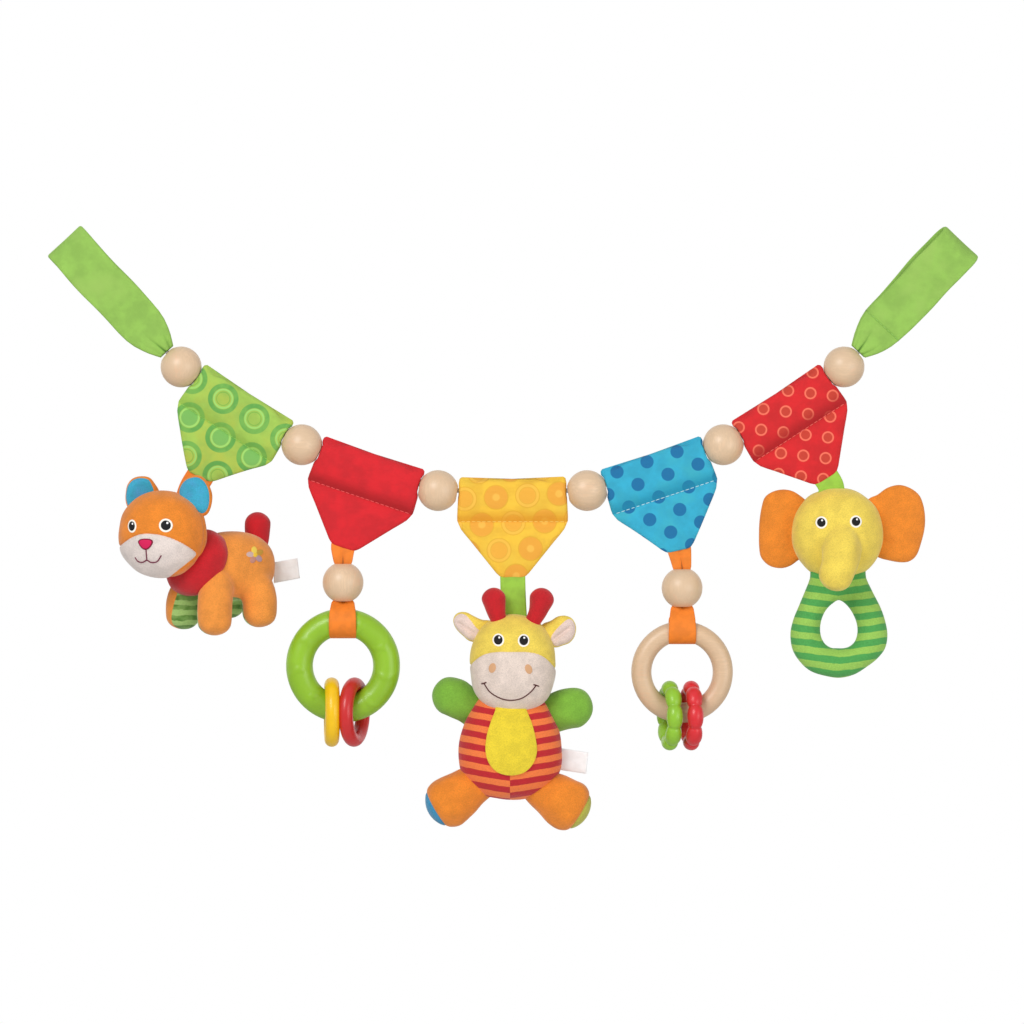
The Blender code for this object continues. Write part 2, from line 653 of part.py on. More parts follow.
def add_small_ring(name, material, big, spacing, turned, ring_radius, tube_radii, around):
    """A small ring threaded on a big one, turned a little about the upright."""
    widest = float(np.max(tube_radii))
    centre = hang_place(big, spacing, ring_radius, widest)
    axis = Vector((math.cos(turned), math.sin(turned), 0))
    ring = torus(name, material, centre, axis, ring_radius, tube_radii, around, 7)
    return pivot(ring, big.location)


def add_label(name, material, root):
    """A blank tape label that stands out to +X from its seam."""
    rows = [(root + Vector((way * LABEL_WIDTH, 0, 0)), Vector((0, 0, LABEL_HEIGHT / 2)),
             Vector((0, LABEL_THICKNESS / 2, 0))) for way in (LABEL_ROOT_SHARE, 1.0)]
    return pivot(strap(name, material, rows), root)


def limb(name, material, root, along, root_radius, length, taper_share, depth_share=1.0):
    """A stuffed limb from a ball end round its root point, swelling towards its tip."""
    half = (length + root_radius) / 2
    middle_radius = root_radius * (1 + taper_share)
    turn = frame_of(along)
    centre = root + Vector(along).normalized() * (length - half)
    piece = lump(name, material, centre, (middle_radius, middle_radius * depth_share, half), turn,
                 taper_share, fullness=LIMB_FULLNESS, rings=8, sides=12)
    return pivot(piece, root)


def socket(piece, name, root, radius):
    """Cuts the seat of a limb's ball end into the piece."""
    cut(piece, lump(name, None, root, (radius + SOCKET_CLEARANCE,) * 3, rings=8, sides=12))


def add_cub(cloth, tip, along):
    head_place = tip + CUB_HEAD_FROM_TIP
    head_turn = Matrix.Rotation(CUB_HEAD_TURN, 3, "Z")
    heading = Vector((math.cos(CUB_BODY_TURN), math.sin(CUB_BODY_TURN), 0))
    aside = Vector((heading.y, -heading.x, 0))
    body_turn = frame_of(heading, across=Vector((0, 0, 1)))
    body_place = head_place + CUB_BODY_FROM_HEAD

    head = lump("cub_head", cloth["orange_plush"], head_place, CUB_HEAD_HALF, head_turn, rings=10, sides=16)
    muzzle = lump("cub_muzzle", cloth["cream_plush"], head_place + CUB_MUZZLE_FROM_HEAD, CUB_MUZZLE_HALF,
                  head_turn, rings=8, sides=14)
    neck = lump("cub_neck", cloth["red_plush"], head_place + CUB_NECK_FROM_HEAD, CUB_NECK_HALF, body_turn,
                rings=8, sides=14)
    body = lump("cub_body", cloth["orange_plush"], body_place, CUB_BODY_HALF, body_turn, rings=9, sides=16)
    make_room(head, muzzle)
    make_room(neck, head, muzzle)
    make_room(body, neck, head)

    for side, name in ((-1, "cub_left_ear"), (1, "cub_right_ear")):
        place_now = head_place + head_turn @ Vector((side * CUB_EAR_SPREAD, CUB_EAR_BACK, CUB_EAR_RISE))
        ear = lump(name, cloth["blue_plush"], place_now, CUB_EAR_HALF, head_turn, rings=7, sides=12)
        make_room(ear, head)

    for near, row, reach, drop in (("near", "front", CUB_LEG_FRONT_REACH, CUB_LEG_FRONT_DROP),
                                   ("near", "rear", CUB_LEG_REAR_REACH, CUB_LEG_REAR_DROP),
                                   ("far", "front", CUB_LEG_FRONT_REACH, CUB_LEG_FRONT_DROP),
                                   ("far", "rear", CUB_LEG_REAR_REACH, CUB_LEG_REAR_DROP)):
        side = -1 if near == "far" else 1
        centre = body_place + heading * reach - aside * side * CUB_LEG_HALF_SPREAD - Vector((0, 0, drop))
        half = (CUB_LEG_RADIUS, CUB_LEG_RADIUS, CUB_LEG_HALF_LENGTH)
        leg = lump(f"cub_{row}_{near}_leg", cloth["orange_plush"], centre, half, fullness=CUB_LEG_FULLNESS,
                   rings=8, sides=12)
        make_room(leg, body, neck)

    lateral, vertical, lengthwise = CUB_BODY_HALF
    rise = vertical * math.sqrt(1 - (CUB_TAIL_REACH / lengthwise) ** 2)
    root = body_place + heading * CUB_TAIL_REACH + Vector((0, 0, rise))
    limb("cub_tail", cloth["red_plush"], root, Vector((0, 0, 1)) + heading * CUB_TAIL_LEAN_SHARE,
         CUB_TAIL_RADIUS, CUB_TAIL_LENGTH, CUB_TAIL_TAPER_SHARE)
    socket(body, "cub_tail_socket", root, CUB_TAIL_SOCKET_RADIUS)

    back = lengthwise * CUB_LABEL_REACH_SHARE
    end = body_place - heading * back - Vector((0, 0, CUB_LABEL_DROP))
    reach = math.hypot(lengthwise * heading.x, lateral * heading.y) - back * abs(heading.x)
    label = add_label("cub_label", cloth["label_tape"], end + Vector((reach, 0, 0)))
    make_room(label, body)

    ribbon = add_ribbon("cub_ribbon", cloth["orange_ribbon"], tip, along,
                        head_place + CUB_RIBBON_BOTTOM_FROM_HEAD)
    make_room(ribbon, head, neck, body)


def add_giraffe(cloth, tip, along):
    head_place = tip - Vector((0, 0, GIRAFFE_HEAD_DROP))
    body_place = head_place + GIRAFFE_BODY_FROM_HEAD
    head = lump("giraffe_head", cloth["yellow_plush"], head_place, GIRAFFE_HEAD_HALF, rings=10, sides=16)
    muzzle = lump("giraffe_muzzle", cloth["cream_plush"], head_place + GIRAFFE_MUZZLE_FROM_HEAD,
                  GIRAFFE_MUZZLE_HALF, rings=8, sides=16)
    body = lump("giraffe_body", cloth["striped_cloth"], body_place, GIRAFFE_BODY_HALF,
                taper_share=GIRAFFE_BODY_TAPER_SHARE, rings=10, sides=16)
    make_room(head, muzzle)
    make_room(body, head, muzzle)
    add_belly(cloth["yellow_plush"], body, muzzle)
    for side, name in ((-1, "left"), (1, "right")):
        mirror = Vector((side, 1, 1))
        horn = lump(f"giraffe_{name}_horn", cloth["red_plush"], head_place + GIRAFFE_HORN_FROM_HEAD * mirror,
                    GIRAFFE_HORN_HALF, Matrix.Rotation(side * GIRAFFE_HORN_LEAN, 3, "Y"),
                    GIRAFFE_HORN_TAPER_SHARE, fullness=HORN_FULLNESS, rings=8, sides=12)
        ear = lump(f"giraffe_{name}_ear", cloth["cream_plush"], head_place + GIRAFFE_EAR_FROM_HEAD * mirror,
                   GIRAFFE_EAR_HALF, Matrix.Rotation(side * GIRAFFE_EAR_LEAN, 3, "Y"), rings=8, sides=12)
        make_room(horn, head)
        make_room(ear, head)

        out = Vector((side * math.cos(GIRAFFE_ARM_SLOPE), 0, math.sin(GIRAFFE_ARM_SLOPE)))
        root = body_place + GIRAFFE_ARM_FROM_BODY * mirror
        limb(f"giraffe_{name}_arm", cloth["green_plush"], root, out, GIRAFFE_ARM_ROOT_RADIUS,
             GIRAFFE_ARM_LENGTH, GIRAFFE_ARM_TAPER_SHARE, GIRAFFE_ARM_HALF_DEPTH_SHARE)
        socket(body, f"giraffe_{name}_arm_socket", root, GIRAFFE_ARM_ROOT_RADIUS)

        out = Vector((side * math.cos(GIRAFFE_LEG_SLOPE), 0, math.sin(GIRAFFE_LEG_SLOPE)))
        root = body_place + GIRAFFE_LEG_FROM_BODY * mirror
        leg = limb(f"giraffe_{name}_leg", cloth["orange_plush"], root, out, GIRAFFE_LEG_ROOT_RADIUS,
                   GIRAFFE_LEG_LENGTH, GIRAFFE_LEG_TAPER_SHARE)
        socket(body, f"giraffe_{name}_leg_socket", root, GIRAFFE_LEG_SOCKET_RADIUS)
        down = Vector((side * math.cos(GIRAFFE_SOLE_SLOPE), 0, math.sin(GIRAFFE_SOLE_SLOPE)))
        under = Vector((side * math.sin(GIRAFFE_LEG_SLOPE), 0, -math.cos(GIRAFFE_LEG_SLOPE)))
        heel = (root + out * GIRAFFE_LEG_LENGTH * GIRAFFE_SOLE_REACH_SHARE
                + under * GIRAFFE_LEG_ROOT_RADIUS * GIRAFFE_SOLE_DROP_SHARE)
        sole = lump(f"giraffe_{name}_sole", cloth["blue_plush"], heel, GIRAFFE_SOLE_HALF, frame_of(down),
                    rings=6, sides=12)
        make_room(sole, leg)
        pivot(sole, root)

    label_place = body_place + Vector((GIRAFFE_BODY_HALF[0], 0, GIRAFFE_LABEL_RISE))
    label = add_label("giraffe_label", cloth["label_tape"], label_place)
    make_room(label, body)
    bottom = head_place + Vector((0, 0, GIRAFFE_HEAD_HALF[2] - OVERRUN))
    ribbon = add_ribbon("giraffe_ribbon", cloth["green_ribbon"], tip, along, bottom)
    make_room(ribbon, head)


def add_belly(material, body, muzzle):
    """A thin patch over the front of the body, the gap clear of it."""
    belly = grown(body, GAP + GIRAFFE_BELLY_THICKNESS)
    belly.name = "giraffe_belly"
    belly.hide_render = False
    belly.display_type = "TEXTURED"
    belly.data.materials.append(material)
    centre = Vector(body.location) + GIRAFFE_BELLY_FROM_BODY
    across, high = GIRAFFE_BELLY_HALF
    angles = np.linspace(0, 2 * math.pi, GIRAFFE_BELLY_POINTS, endpoint=False)
    narrowing = 1 - GIRAFFE_BELLY_NARROWING_SHARE * np.sin(angles)
    outline = np.stack([across * np.cos(angles) * narrowing, np.zeros_like(angles), high * np.sin(angles)],
                       axis=-1)
    front = np.array(centre - Vector((0, GIRAFFE_BODY_HALF[1] + GIRAFFE_BELLY_THICKNESS + OVERRUN, 0)))
    rings = np.stack([outline + front, outline + np.array(centre)])
    boolean(belly, as_helper(skin("belly_outline", rings, None, tube=False)), "INTERSECT")
    make_room(belly, body, muzzle)


def add_trunk(material, head):
    """A stuffed trunk that leaves the front of the head and hangs down."""
    spots = [Vector(head.location) + Vector(shares) * ELEPHANT_TRUNK_DROP
             for shares in ELEPHANT_TRUNK_PATH_SHARES]
    angles = np.linspace(0, 2 * math.pi, 14, endpoint=False)
    rings = []
    for index, (spot, radius_share) in enumerate(zip(spots, ELEPHANT_TRUNK_RADIUS_SHARES)):
        along = spots[min(index + 1, len(spots) - 1)] - spots[max(index - 1, 0)]
        turn = frame_of(along, across=Vector((1, 0, 0)))
        radius = ELEPHANT_TRUNK_RADIUS * radius_share
        rings.append([spot + turn @ Vector((radius * math.cos(angle), radius * math.sin(angle), 0))
                      for angle in angles])
    trunk = skin("elephant_trunk", np.array(rings), material)
    make_room(trunk, head)


def add_handle(material, head):
    """A stuffed ring to hold, narrower at the top."""
    centre = np.array(Vector(head.location) + ELEPHANT_HANDLE_FROM_HEAD)
    ways = np.linspace(0, 2 * math.pi, 32, endpoint=False)
    narrowing = 1 - ELEPHANT_HANDLE_PEAR_SHARE * np.cos(ways)
    path = np.stack([ELEPHANT_HANDLE_HALF_WIDTH * np.sin(ways) * narrowing, np.zeros(32),
                     ELEPHANT_HANDLE_HALF_HEIGHT * np.cos(ways)], axis=-1)
    along = np.roll(path, -1, axis=0) - np.roll(path, 1, axis=0)
    along /= np.linalg.norm(along, axis=1)[:, None]
    outward = np.cross(along, (0.0, 1.0, 0.0))
    angles = np.linspace(0, 2 * math.pi, 10, endpoint=False)
    radius = ELEPHANT_HANDLE_TUBE_RADIUS
    rings = (path[:, None] + outward[:, None] * radius * np.cos(angles)[None, :, None]
             + np.array((0.0, 1.0, 0.0)) * radius * np.sin(angles)[None, :, None])
    handle = pivot(skin("elephant_handle", rings + centre, material, looped=True), centre)
    make_room(handle, head)


def add_elephant(cloth, tip, along):
    head_place = tip + ELEPHANT_HEAD_FROM_TIP
    head = lump("elephant_head", cloth["yellow_plush"], head_place, ELEPHANT_HEAD_HALF, rings=10, sides=16)
    add_trunk(cloth["yellow_plush"], head)
    add_handle(cloth["green_striped_cloth"], head)
    for offset, name in ((ELEPHANT_LEFT_EAR_FROM_HEAD, "elephant_left_ear"),
                         (ELEPHANT_RIGHT_EAR_FROM_HEAD, "elephant_right_ear")):
        ear = lump(name, cloth["orange_plush"], head_place + offset, ELEPHANT_EAR_HALF,
                   fullness=FLOPPY_EAR_FULLNESS, rings=9, sides=14)
        make_room(ear, head)
    bottom = head_place + Vector((-ELEPHANT_HEAD_FROM_TIP.x * ELEPHANT_RIBBON_LEAN_SHARE,
                                  -ELEPHANT_HEAD_FROM_TIP.y, ELEPHANT_RIBBON_BOTTOM_RISE))
    ribbon = add_ribbon("elephant_ribbon", cloth["green_ribbon"], tip, along, bottom)
    make_room(ribbon, head)


def add_cluster(cloth, side, tip, along, bead_drop, standoff, big, small):
    """A bead, a big ring and two small rings on one ribbon."""
    bead_place = tip - Vector((0, 0, bead_drop))
    add_bead(f"{side}_ribbon_bead", cloth["beech"], bead_place, Vector((0, 0, 1)), RIBBON_BEAD_BORE)
    ring = add_big_ring(big["name"], cloth[big["cloth"]], bead_place, standoff, big["ring"], big["tube"])
    add_ring_ribbon(f"{side}_ring_ribbon", cloth["orange_ribbon"], tip, along, bead_place, ring, standoff)
    for name, finish_name, at, turned in small["rings"]:
        add_small_ring(name, cloth[finish_name], ring, at * small["spacing"] / 2, math.radians(turned),
                       small["ring"], small["tube"], small["around"])


def flower_tube():
    """The tube radius round a flower ring: it swells at each lobe, with a waist at the top."""
    ways = np.linspace(0, 2 * math.pi, FLOWER_LOBES * 4, endpoint=False)
    return FLOWER_TUBE_RADIUS * (1 - FLOWER_LOBE_SHARE * np.cos(FLOWER_LOBES * ways))


def main():
    clear_scene()
    cloth = clothes()
    centres = bead_centres()
    slopes = strand_slopes()
    for index, centre in enumerate(centres):
        axis = direction((slopes[index] + slopes[index + 1]) / 2)
        add_bead(f"bead_{index + 1}", cloth["beech"], centre, axis, CORD_BORE)
    cord = add_cord(cloth["elastic"], centres)
    pivot(cord, centres[0])
    for name, centre, side in (("loop_left", centres[0], -1), ("loop_right", centres[-1], 1)):
        add_loop(name, cloth["green_cloth"], centre, side)
    colours = ("green_cloth", "red_cloth", "yellow_cloth", "blue_cloth", "red_cloth")
    stretches = list(zip(centres, centres[1:]))
    for index, ((left, right), colour) in enumerate(zip(stretches, colours)):
        add_pennant(f"pennant_{index + 1}", cloth[colour], left, right)
    tips = [tip_of(left, right) for left, right in stretches]
    add_cub(cloth, *tips[0])
    hang_together("cub_", *tips[0], jointed=("cub_tail",))
    left_big = {"name": "teething_ring", "cloth": "green_plastic", "ring": TEETHING_RING_RADIUS,
                "tube": TEETHING_TUBE_RADIUS}
    left_small = {"rings": (("ring_yellow", "yellow_plastic", -1, -4),
                            ("ring_red", "red_plastic", 1, -16)),
                  "spacing": SMALL_RING_SPACING, "ring": SMALL_RING_RADIUS, "tube": SMALL_TUBE_RADIUS,
                  "around": 24}
    add_cluster(cloth, "left", *tips[1], LEFT_BEAD_DROP, LEFT_RING_STANDOFF, left_big, left_small)
    add_giraffe(cloth, *tips[2])
    limbs = [f"giraffe_{side}_{piece}" for side in ("left", "right") for piece in ("arm", "leg", "sole")]
    hang_together("giraffe_", *tips[2], jointed=limbs)
    right_big = {"name": "wooden_ring", "cloth": "beech", "ring": WOODEN_RING_RADIUS,
                 "tube": WOODEN_TUBE_RADIUS}
    right_small = {"rings": (("flower_ring_green", "green_plastic", -1, 9),
                             ("flower_ring_red", "red_plastic", 1, 6)),
                   "spacing": FLOWER_RING_SPACING, "ring": FLOWER_RING_RADIUS, "tube": flower_tube(),
                   "around": FLOWER_LOBES * 4}
    add_cluster(cloth, "right", *tips[3], RIGHT_BEAD_DROP, RIGHT_RING_STANDOFF, right_big, right_small)
    add_elephant(cloth, *tips[4])
    hang_together("elephant_", *tips[4], jointed=())


main()
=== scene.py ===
import math

import bpy
import numpy as np
from mathutils import Matrix, Vector


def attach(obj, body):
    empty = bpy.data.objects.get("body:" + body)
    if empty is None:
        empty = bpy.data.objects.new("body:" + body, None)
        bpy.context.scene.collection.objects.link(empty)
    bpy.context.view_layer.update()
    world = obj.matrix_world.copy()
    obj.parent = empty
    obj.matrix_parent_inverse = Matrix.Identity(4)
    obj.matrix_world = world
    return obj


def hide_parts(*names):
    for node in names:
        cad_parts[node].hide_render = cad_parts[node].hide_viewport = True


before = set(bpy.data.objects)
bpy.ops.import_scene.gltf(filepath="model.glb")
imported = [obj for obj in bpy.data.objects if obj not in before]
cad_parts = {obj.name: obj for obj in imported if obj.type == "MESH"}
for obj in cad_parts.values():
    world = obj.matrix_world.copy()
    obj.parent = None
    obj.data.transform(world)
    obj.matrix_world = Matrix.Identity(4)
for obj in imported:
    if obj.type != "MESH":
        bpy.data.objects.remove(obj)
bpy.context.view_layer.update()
print("frame loaded")

mm = 0.001
tau = 2 * math.pi
# the camera: where it looks, how far away it stands, and the width that it shows there
view = {"target": np.array([-0.0003, 0, -0.1475]), "distance": 2.5, "frameWidth": 0.5632, "sensor": 36}


# Shapes: every piece is a grid of points worked out as one array

def gridFaces(rows, columns, wrapRows=False):
    # quads between neighbouring rows and columns: the columns go round, and the rows do where they wrap
    row = np.arange(rows if wrapRows else rows - 1)[:, None]
    column = np.arange(columns)[None, :]
    nextRow, nextColumn = (row + 1) % rows, (column + 1) % columns
    quads = np.stack([row * columns + column, row * columns + nextColumn,
                      nextRow * columns + nextColumn, nextRow * columns + column], axis=-1)
    return quads.reshape(-1, 4)


def fanFaces(start, columns, pole):
    # triangles from one row of the grid to a pole
    column = np.arange(columns)
    return np.stack([start + column, start + (column + 1) % columns, np.full(columns, pole)], axis=-1)


def volumeOf(points, faces):
    # the volume is a sixth of the sum of the triangles' determinants, each quad being two triangles
    corners = points[faces]
    total = np.linalg.det(corners[:, :3]).sum()
    if faces.shape[1] == 4:
        total += np.linalg.det(corners[:, [0, 2, 3]]).sum()
    return total


def addObject(name, data):
    made = bpy.data.objects.new(name, data)
    bpy.context.scene.collection.objects.link(made)
    return made


def addMesh(name, points, faceSets, material, marks=None):
    # a smooth mesh whose faces look outward; marks are vectors stored at its points for the finishes
    if sum(volumeOf(points, faces) for faces in faceSets) < 0:
        faceSets = [faces[:, ::-1] for faces in faceSets]
    mesh = bpy.data.meshes.new(name)
    mesh.from_pydata(points.tolist(), [], [face for faces in faceSets for face in faces.tolist()])
    for markName, values in (marks or {}).items():
        layer = mesh.attributes.new(markName, "FLOAT_VECTOR", "POINT")
        layer.data.foreach_set("vector", np.ascontiguousarray(values, dtype=np.float32).ravel())
    mesh.shade_smooth()
    mesh.materials.append(material)
    return addObject(name, mesh)


def closedPiece(name, rows, material, marks=None):
    # a closed skin over rows of points, each row a ring, with a pole at the middle of each end row
    count, sides = rows.shape[:2]
    withPoles = lambda grid: np.concatenate([grid.reshape(-1, 3), grid[[0, -1]].mean(axis=1)])
    faces = [gridFaces(count, sides), fanFaces(0, sides, count * sides)[:, ::-1],
             fanFaces((count - 1) * sides, sides, count * sides + 1)]
    allMarks = {key: withPoles(values) for key, values in (marks or {}).items()}
    return addMesh(name, withPoles(rows), faces, material, allMarks)


def ringPiece(name, rows, material):
    # a skin that wraps both ways, such as a ring or a bored bead
    return addMesh(name, rows.reshape(-1, 3), [gridFaces(*rows.shape[:2], wrapRows=True)], material)


def framesAlong(path, across):
    # at each point of the path: its direction, the part of across square to it, and the square of both
    along = np.gradient(path, axis=0)
    along /= np.linalg.norm(along, axis=1)[:, None]
    across = np.broadcast_to(across, path.shape)
    side = across - (across * along).sum(axis=1)[:, None] * along
    side /= np.linalg.norm(side, axis=1)[:, None]
    return along, side, np.cross(along, side)


def evenly(path, count):
    # the same path with points at equal distances
    steps = np.linalg.norm(np.diff(path, axis=0), axis=1)
    reached = np.concatenate([[0], np.cumsum(steps)])
    at = np.linspace(0, reached[-1], count)
    return np.stack([np.interp(at, reached, path[:, axis]) for axis in range(3)], axis=-1)


def catmullRom(p0, p1, p2, p3, t):
    # the cubic from p1 to p2 whose ends run along the lines between their neighbours
    return 0.5 * (2 * p1 + (p2 - p0) * t + (2 * p0 - 5 * p1 + 4 * p2 - p3) * t**2
                  + (3 * p1 - p0 - 3 * p2 + p3) * t**3)


def smoothPath(knots, count):
    # a Catmull-Rom curve through the knots: on each stretch a cubic of the four knots around it
    knots = np.asarray(knots, float)
    padded = np.concatenate([[2 * knots[0] - knots[1]], knots, [2 * knots[-1] - knots[-2]]])
    at = np.linspace(0, len(knots) - 1, count)
    index = np.minimum(at.astype(int), len(knots) - 2)
    return catmullRom(*(padded[index + shift] for shift in range(4)), (at - index)[:, None])


def tubeAlong(name, path, radii, material, sides):
    # a round section carried along the path, with a radius for each point
    _, side, up = framesAlong(path, np.array([0, 1, 0]))
    around = np.linspace(0, tau, sides, endpoint=False)[None, :, None]
    out = side[:, None] * np.cos(around) + up[:, None] * np.sin(around)
    return closedPiece(name, path[:, None] + radii[:, None, None] * out, material)


def flatSection(sides, stretch):
    # round a flat loop: the place across it from -1 to 1, stretched so that some places share each end, how
    # far each is from the tip of its end, and its front or back as -1 or 1
    turn = np.linspace(0, tau, sides, endpoint=False)[None, :]
    rim = np.clip(np.abs(np.sin(turn)) / math.sqrt(1 - 1 / stretch**2), 0, 1)
    return np.clip(np.cos(turn) * stretch, -1, 1), rim, np.where(np.sin(turn) < 0, -1.0, 1.0)


def softNoise(points, size, seed):
    # a smooth random field between about -1 and 1: plane waves of about the given size, added up
    rng, waves = np.random.default_rng(seed), 9
    ways = rng.normal(size=(waves, 3))
    ways /= np.linalg.norm(ways, axis=1)[:, None]
    lengths = size * rng.uniform(0.7, 1.5, waves)
    phases = rng.uniform(0, tau, waves)
    return np.sin(points @ (ways / lengths[:, None]).T * tau + phases).sum(axis=-1) / math.sqrt(waves * 2)


def uneven(rows, size, height, seed):
    # the rows pushed to and fro in depth
    return rows + softNoise(rows, size, seed)[..., None] * np.array([0, height, 0])


def turnFrom(along, across=(0, 1, 0)):
    # a 3 by 3 turn whose Z runs along the first direction and whose Y lies nearest the second
    z = Vector(along).normalized()
    x = Vector(across).cross(z).normalized()
    return np.array(Matrix((x, z.cross(x), z)).transposed())


def dress(piece, body, nodes=()):
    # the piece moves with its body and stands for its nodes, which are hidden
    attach(piece, body)
    if nodes:
        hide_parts(*nodes)
    return piece


# Stuffed forms: a centre, a turn, half sizes and a power say how far the cloth lies from the centre in
# each direction. Bulges and seams then push it out or pull it in.

def reachOf(form, ways):
    half, power = np.array(form["half"]), form.get("power", 2.0)
    taper = 1 + form.get("taper", 0.0) * ways[..., 2]
    scaled = np.abs(ways / (half * np.stack([taper, taper, np.ones_like(taper)], axis=-1)))
    reach = (scaled**power).sum(axis=-1) ** (-1 / power)
    for way, spread, share in form.get("bulges", ()):
        way = np.array(way) / np.linalg.norm(way)
        reach = reach * (1 + share * np.exp((ways @ way - 1) / spread))
    for normal, offset, depth, width in form.get("seams", ()):
        away = (ways * reach[..., None]) @ (np.array(normal) / np.linalg.norm(normal)) - offset
        reach = reach - depth * np.exp(-(away / width) ** 2)
    if "lumps" in form:
        size, height, seed = form["lumps"]
        reach = reach + height * softNoise(ways * reach[..., None], size, seed)
    return reach


def formWays(rings, sides):
    # unit directions on a ball, from just above its lower pole to just below its upper one
    lift = -np.cos(np.linspace(0, math.pi, rings + 2)[1:-1])[:, None] * np.ones(sides)
    around = np.linspace(0, tau, sides, endpoint=False)[None, :]
    flat = np.sqrt(1 - lift**2)
    return np.stack([flat * np.cos(around), flat * np.sin(around), lift], axis=-1)


def formPoints(form, ways):
    return (ways * reachOf(form, ways)[..., None]) @ form.get("turn", np.eye(3)).T + form["centre"]


def addForm(name, form, material, rings, sides):
    return closedPiece(name, formPoints(form, formWays(rings, sides)), material)


def fromPicture(places, depth):
    # the point at a given y that the camera shows at the given x and z: the picture shrinks with the distance
    target = view["target"][[0, 2]]
    flat = target + (places - target) * (1 + depth[..., None] / view["distance"])
    return np.stack([flat[..., 0], depth, flat[..., 1]], axis=-1)


def onPicture(points):
    # the x and z at which the camera shows a point
    target = view["target"][[0, 2]]
    return target + (points[..., [0, 2]] - target) / (1 + points[..., 1:2] / view["distance"])


def towards(form, places):
    # points on the form's front skin that the camera shows at the given x and z: the depth is stepped until
    # the direction's reach fits it
    places = np.asarray(places, float)
    turn, centre = form.get("turn", np.eye(3)), form["centre"]
    depth = np.full(len(places), -form["half"][1])
    for _ in range(40):
        outer = fromPicture(places, depth + centre[1]) - centre
        distance = np.linalg.norm(outer, axis=1)
        reach = reachOf(form, (outer / distance[:, None]) @ turn)
        beside = outer[:, 0]**2 + outer[:, 2]**2
        depth = -np.sqrt(np.maximum(reach**2 - beside, (0.1 * reach) ** 2)) * 0.6 + depth * 0.4
    return fromPicture(places, depth + centre[1])


def normalsOn(form, spots):
    # the outward normal at each spot on the skin, from how the reach changes in the two directions around
    turn, centre = form.get("turn", np.eye(3)), form["centre"]

    def gap(points):
        local = (points - centre) @ turn
        distance = np.linalg.norm(local, axis=-1)
        return distance - reachOf(form, local / distance[..., None])

    step = 0.0002
    slope = np.stack([gap(spots + shift) - gap(spots - shift) for shift in np.eye(3) * step], axis=-1)
    return slope / np.linalg.norm(slope, axis=-1)[..., None]


# Finishes: colours are given as on a screen, 0 to 255

def shade(colour, light=1.0):
    # the linear value of a screen colour: under 0.04045 a straight line, above it a power of 2.4
    values = np.clip(np.array(colour, float) / 255 * light, 0, 1)
    linear = np.where(values <= 0.04045, values / 12.92, ((values + 0.055) / 1.055) ** 2.4)
    return (*linear.tolist(), 1.0)


def addNode(tree, kind, inputs=None, **settings):
    made = tree.nodes.new(kind)
    for key, value in settings.items():
        setattr(made, key, value)
    for key, value in (inputs or {}).items():
        if isinstance(value, bpy.types.NodeSocket):
            tree.links.new(value, made.inputs[key])
        else:
            made.inputs[key].default_value = value
    return made


def calc(tree, operation, *values):
    made = addNode(tree, "ShaderNodeMath", dict(enumerate(values)), operation=operation)
    return made.outputs[0]


def edgeOf(tree, value, start, end):
    # 0 before start, 1 after end, eased between
    made = addNode(tree, "ShaderNodeMapRange", {"Value": value, "From Min": start, "From Max": end},
                   interpolation_type="SMOOTHSTEP")
    return made.outputs[0]


def mixed(tree, share, first, second, way="MIX"):
    made = addNode(tree, "ShaderNodeMix", {0: share, 6: first, 7: second}, data_type="RGBA", blend_type=way)
    return made.outputs[2]


def onObject(tree, stretch=(1, 1, 1), turn=(0, 0, 0)):
    # the place on the object, turned and stretched
    place = addNode(tree, "ShaderNodeTexCoord").outputs["Object"]
    turned = addNode(tree, "ShaderNodeMapping", {"Vector": place, "Rotation": turn, "Scale": stretch})
    return turned.outputs[0]


def partsOf(tree, vector):
    return addNode(tree, "ShaderNodeSeparateXYZ", {"Vector": vector}).outputs


def markOf(tree, name):
    # a vector that was stored at the mesh's points
    return addNode(tree, "ShaderNodeAttribute", attribute_name=name).outputs["Vector"]


def cloud(tree, place, size, detail=3.0, rough=0.55):
    # a noise whose lumps are about as wide as size
    made = addNode(tree, "ShaderNodeTexNoise", {"Vector": place, "Scale": 1 / size, "Detail": detail,
                                                "Roughness": rough})
    return made.outputs["Fac"]


def ridges(tree, place, period, axis, wobble=0.0, wobbleSize=1.0):
    # even ridges along an axis: Blender's bands repeat every tau / 20 at a scale of 1
    inputs = {"Vector": place, "Scale": tau / 20 / period, "Distortion": wobble, "Detail": 1.0,
              "Detail Scale": wobbleSize}
    return addNode(tree, "ShaderNodeTexWave", inputs, wave_type="BANDS", bands_direction=axis).outputs["Fac"]


def newFinish(name, roughness, **sockets):
    # a plain principled material; further sockets are set by name
    material = bpy.data.materials.new(name)
    material.use_nodes = True
    tree = material.node_tree
    shader = tree.nodes["Principled BSDF"]
    shader.inputs["Roughness"].default_value = roughness
    for key, value in sockets.items():
        shader.inputs[key.replace("_", " ")].default_value = value
    return material, tree, shader


def raiseBy(tree, shader, height, depth):
    made = addNode(tree, "ShaderNodeBump", {"Height": height, "Distance": depth, "Strength": 1.0})
    tree.links.new(made.outputs[0], shader.inputs["Normal"])


def mottled(tree, colour, size, amount, tint=None):
    # the colour, a little lighter and darker in soft patches, and tinted in others
    lighter, darker = shade(colour, 1 + amount), shade(colour, 1 - amount)
    mix = mixed(tree, edgeOf(tree, cloud(tree, onObject(tree), size), 0.3, 0.7), darker, lighter)
    if tint:
        mix = mixed(tree, edgeOf(tree, cloud(tree, onObject(tree, turn=(1, 2, 3)), size * 2.3), 0.45, 0.75),
                    mix, shade(tint))
    return mix


clothWeave = {"thread": 0.42 * mm, "depth": 0.05 * mm, "patch": 9 * mm}


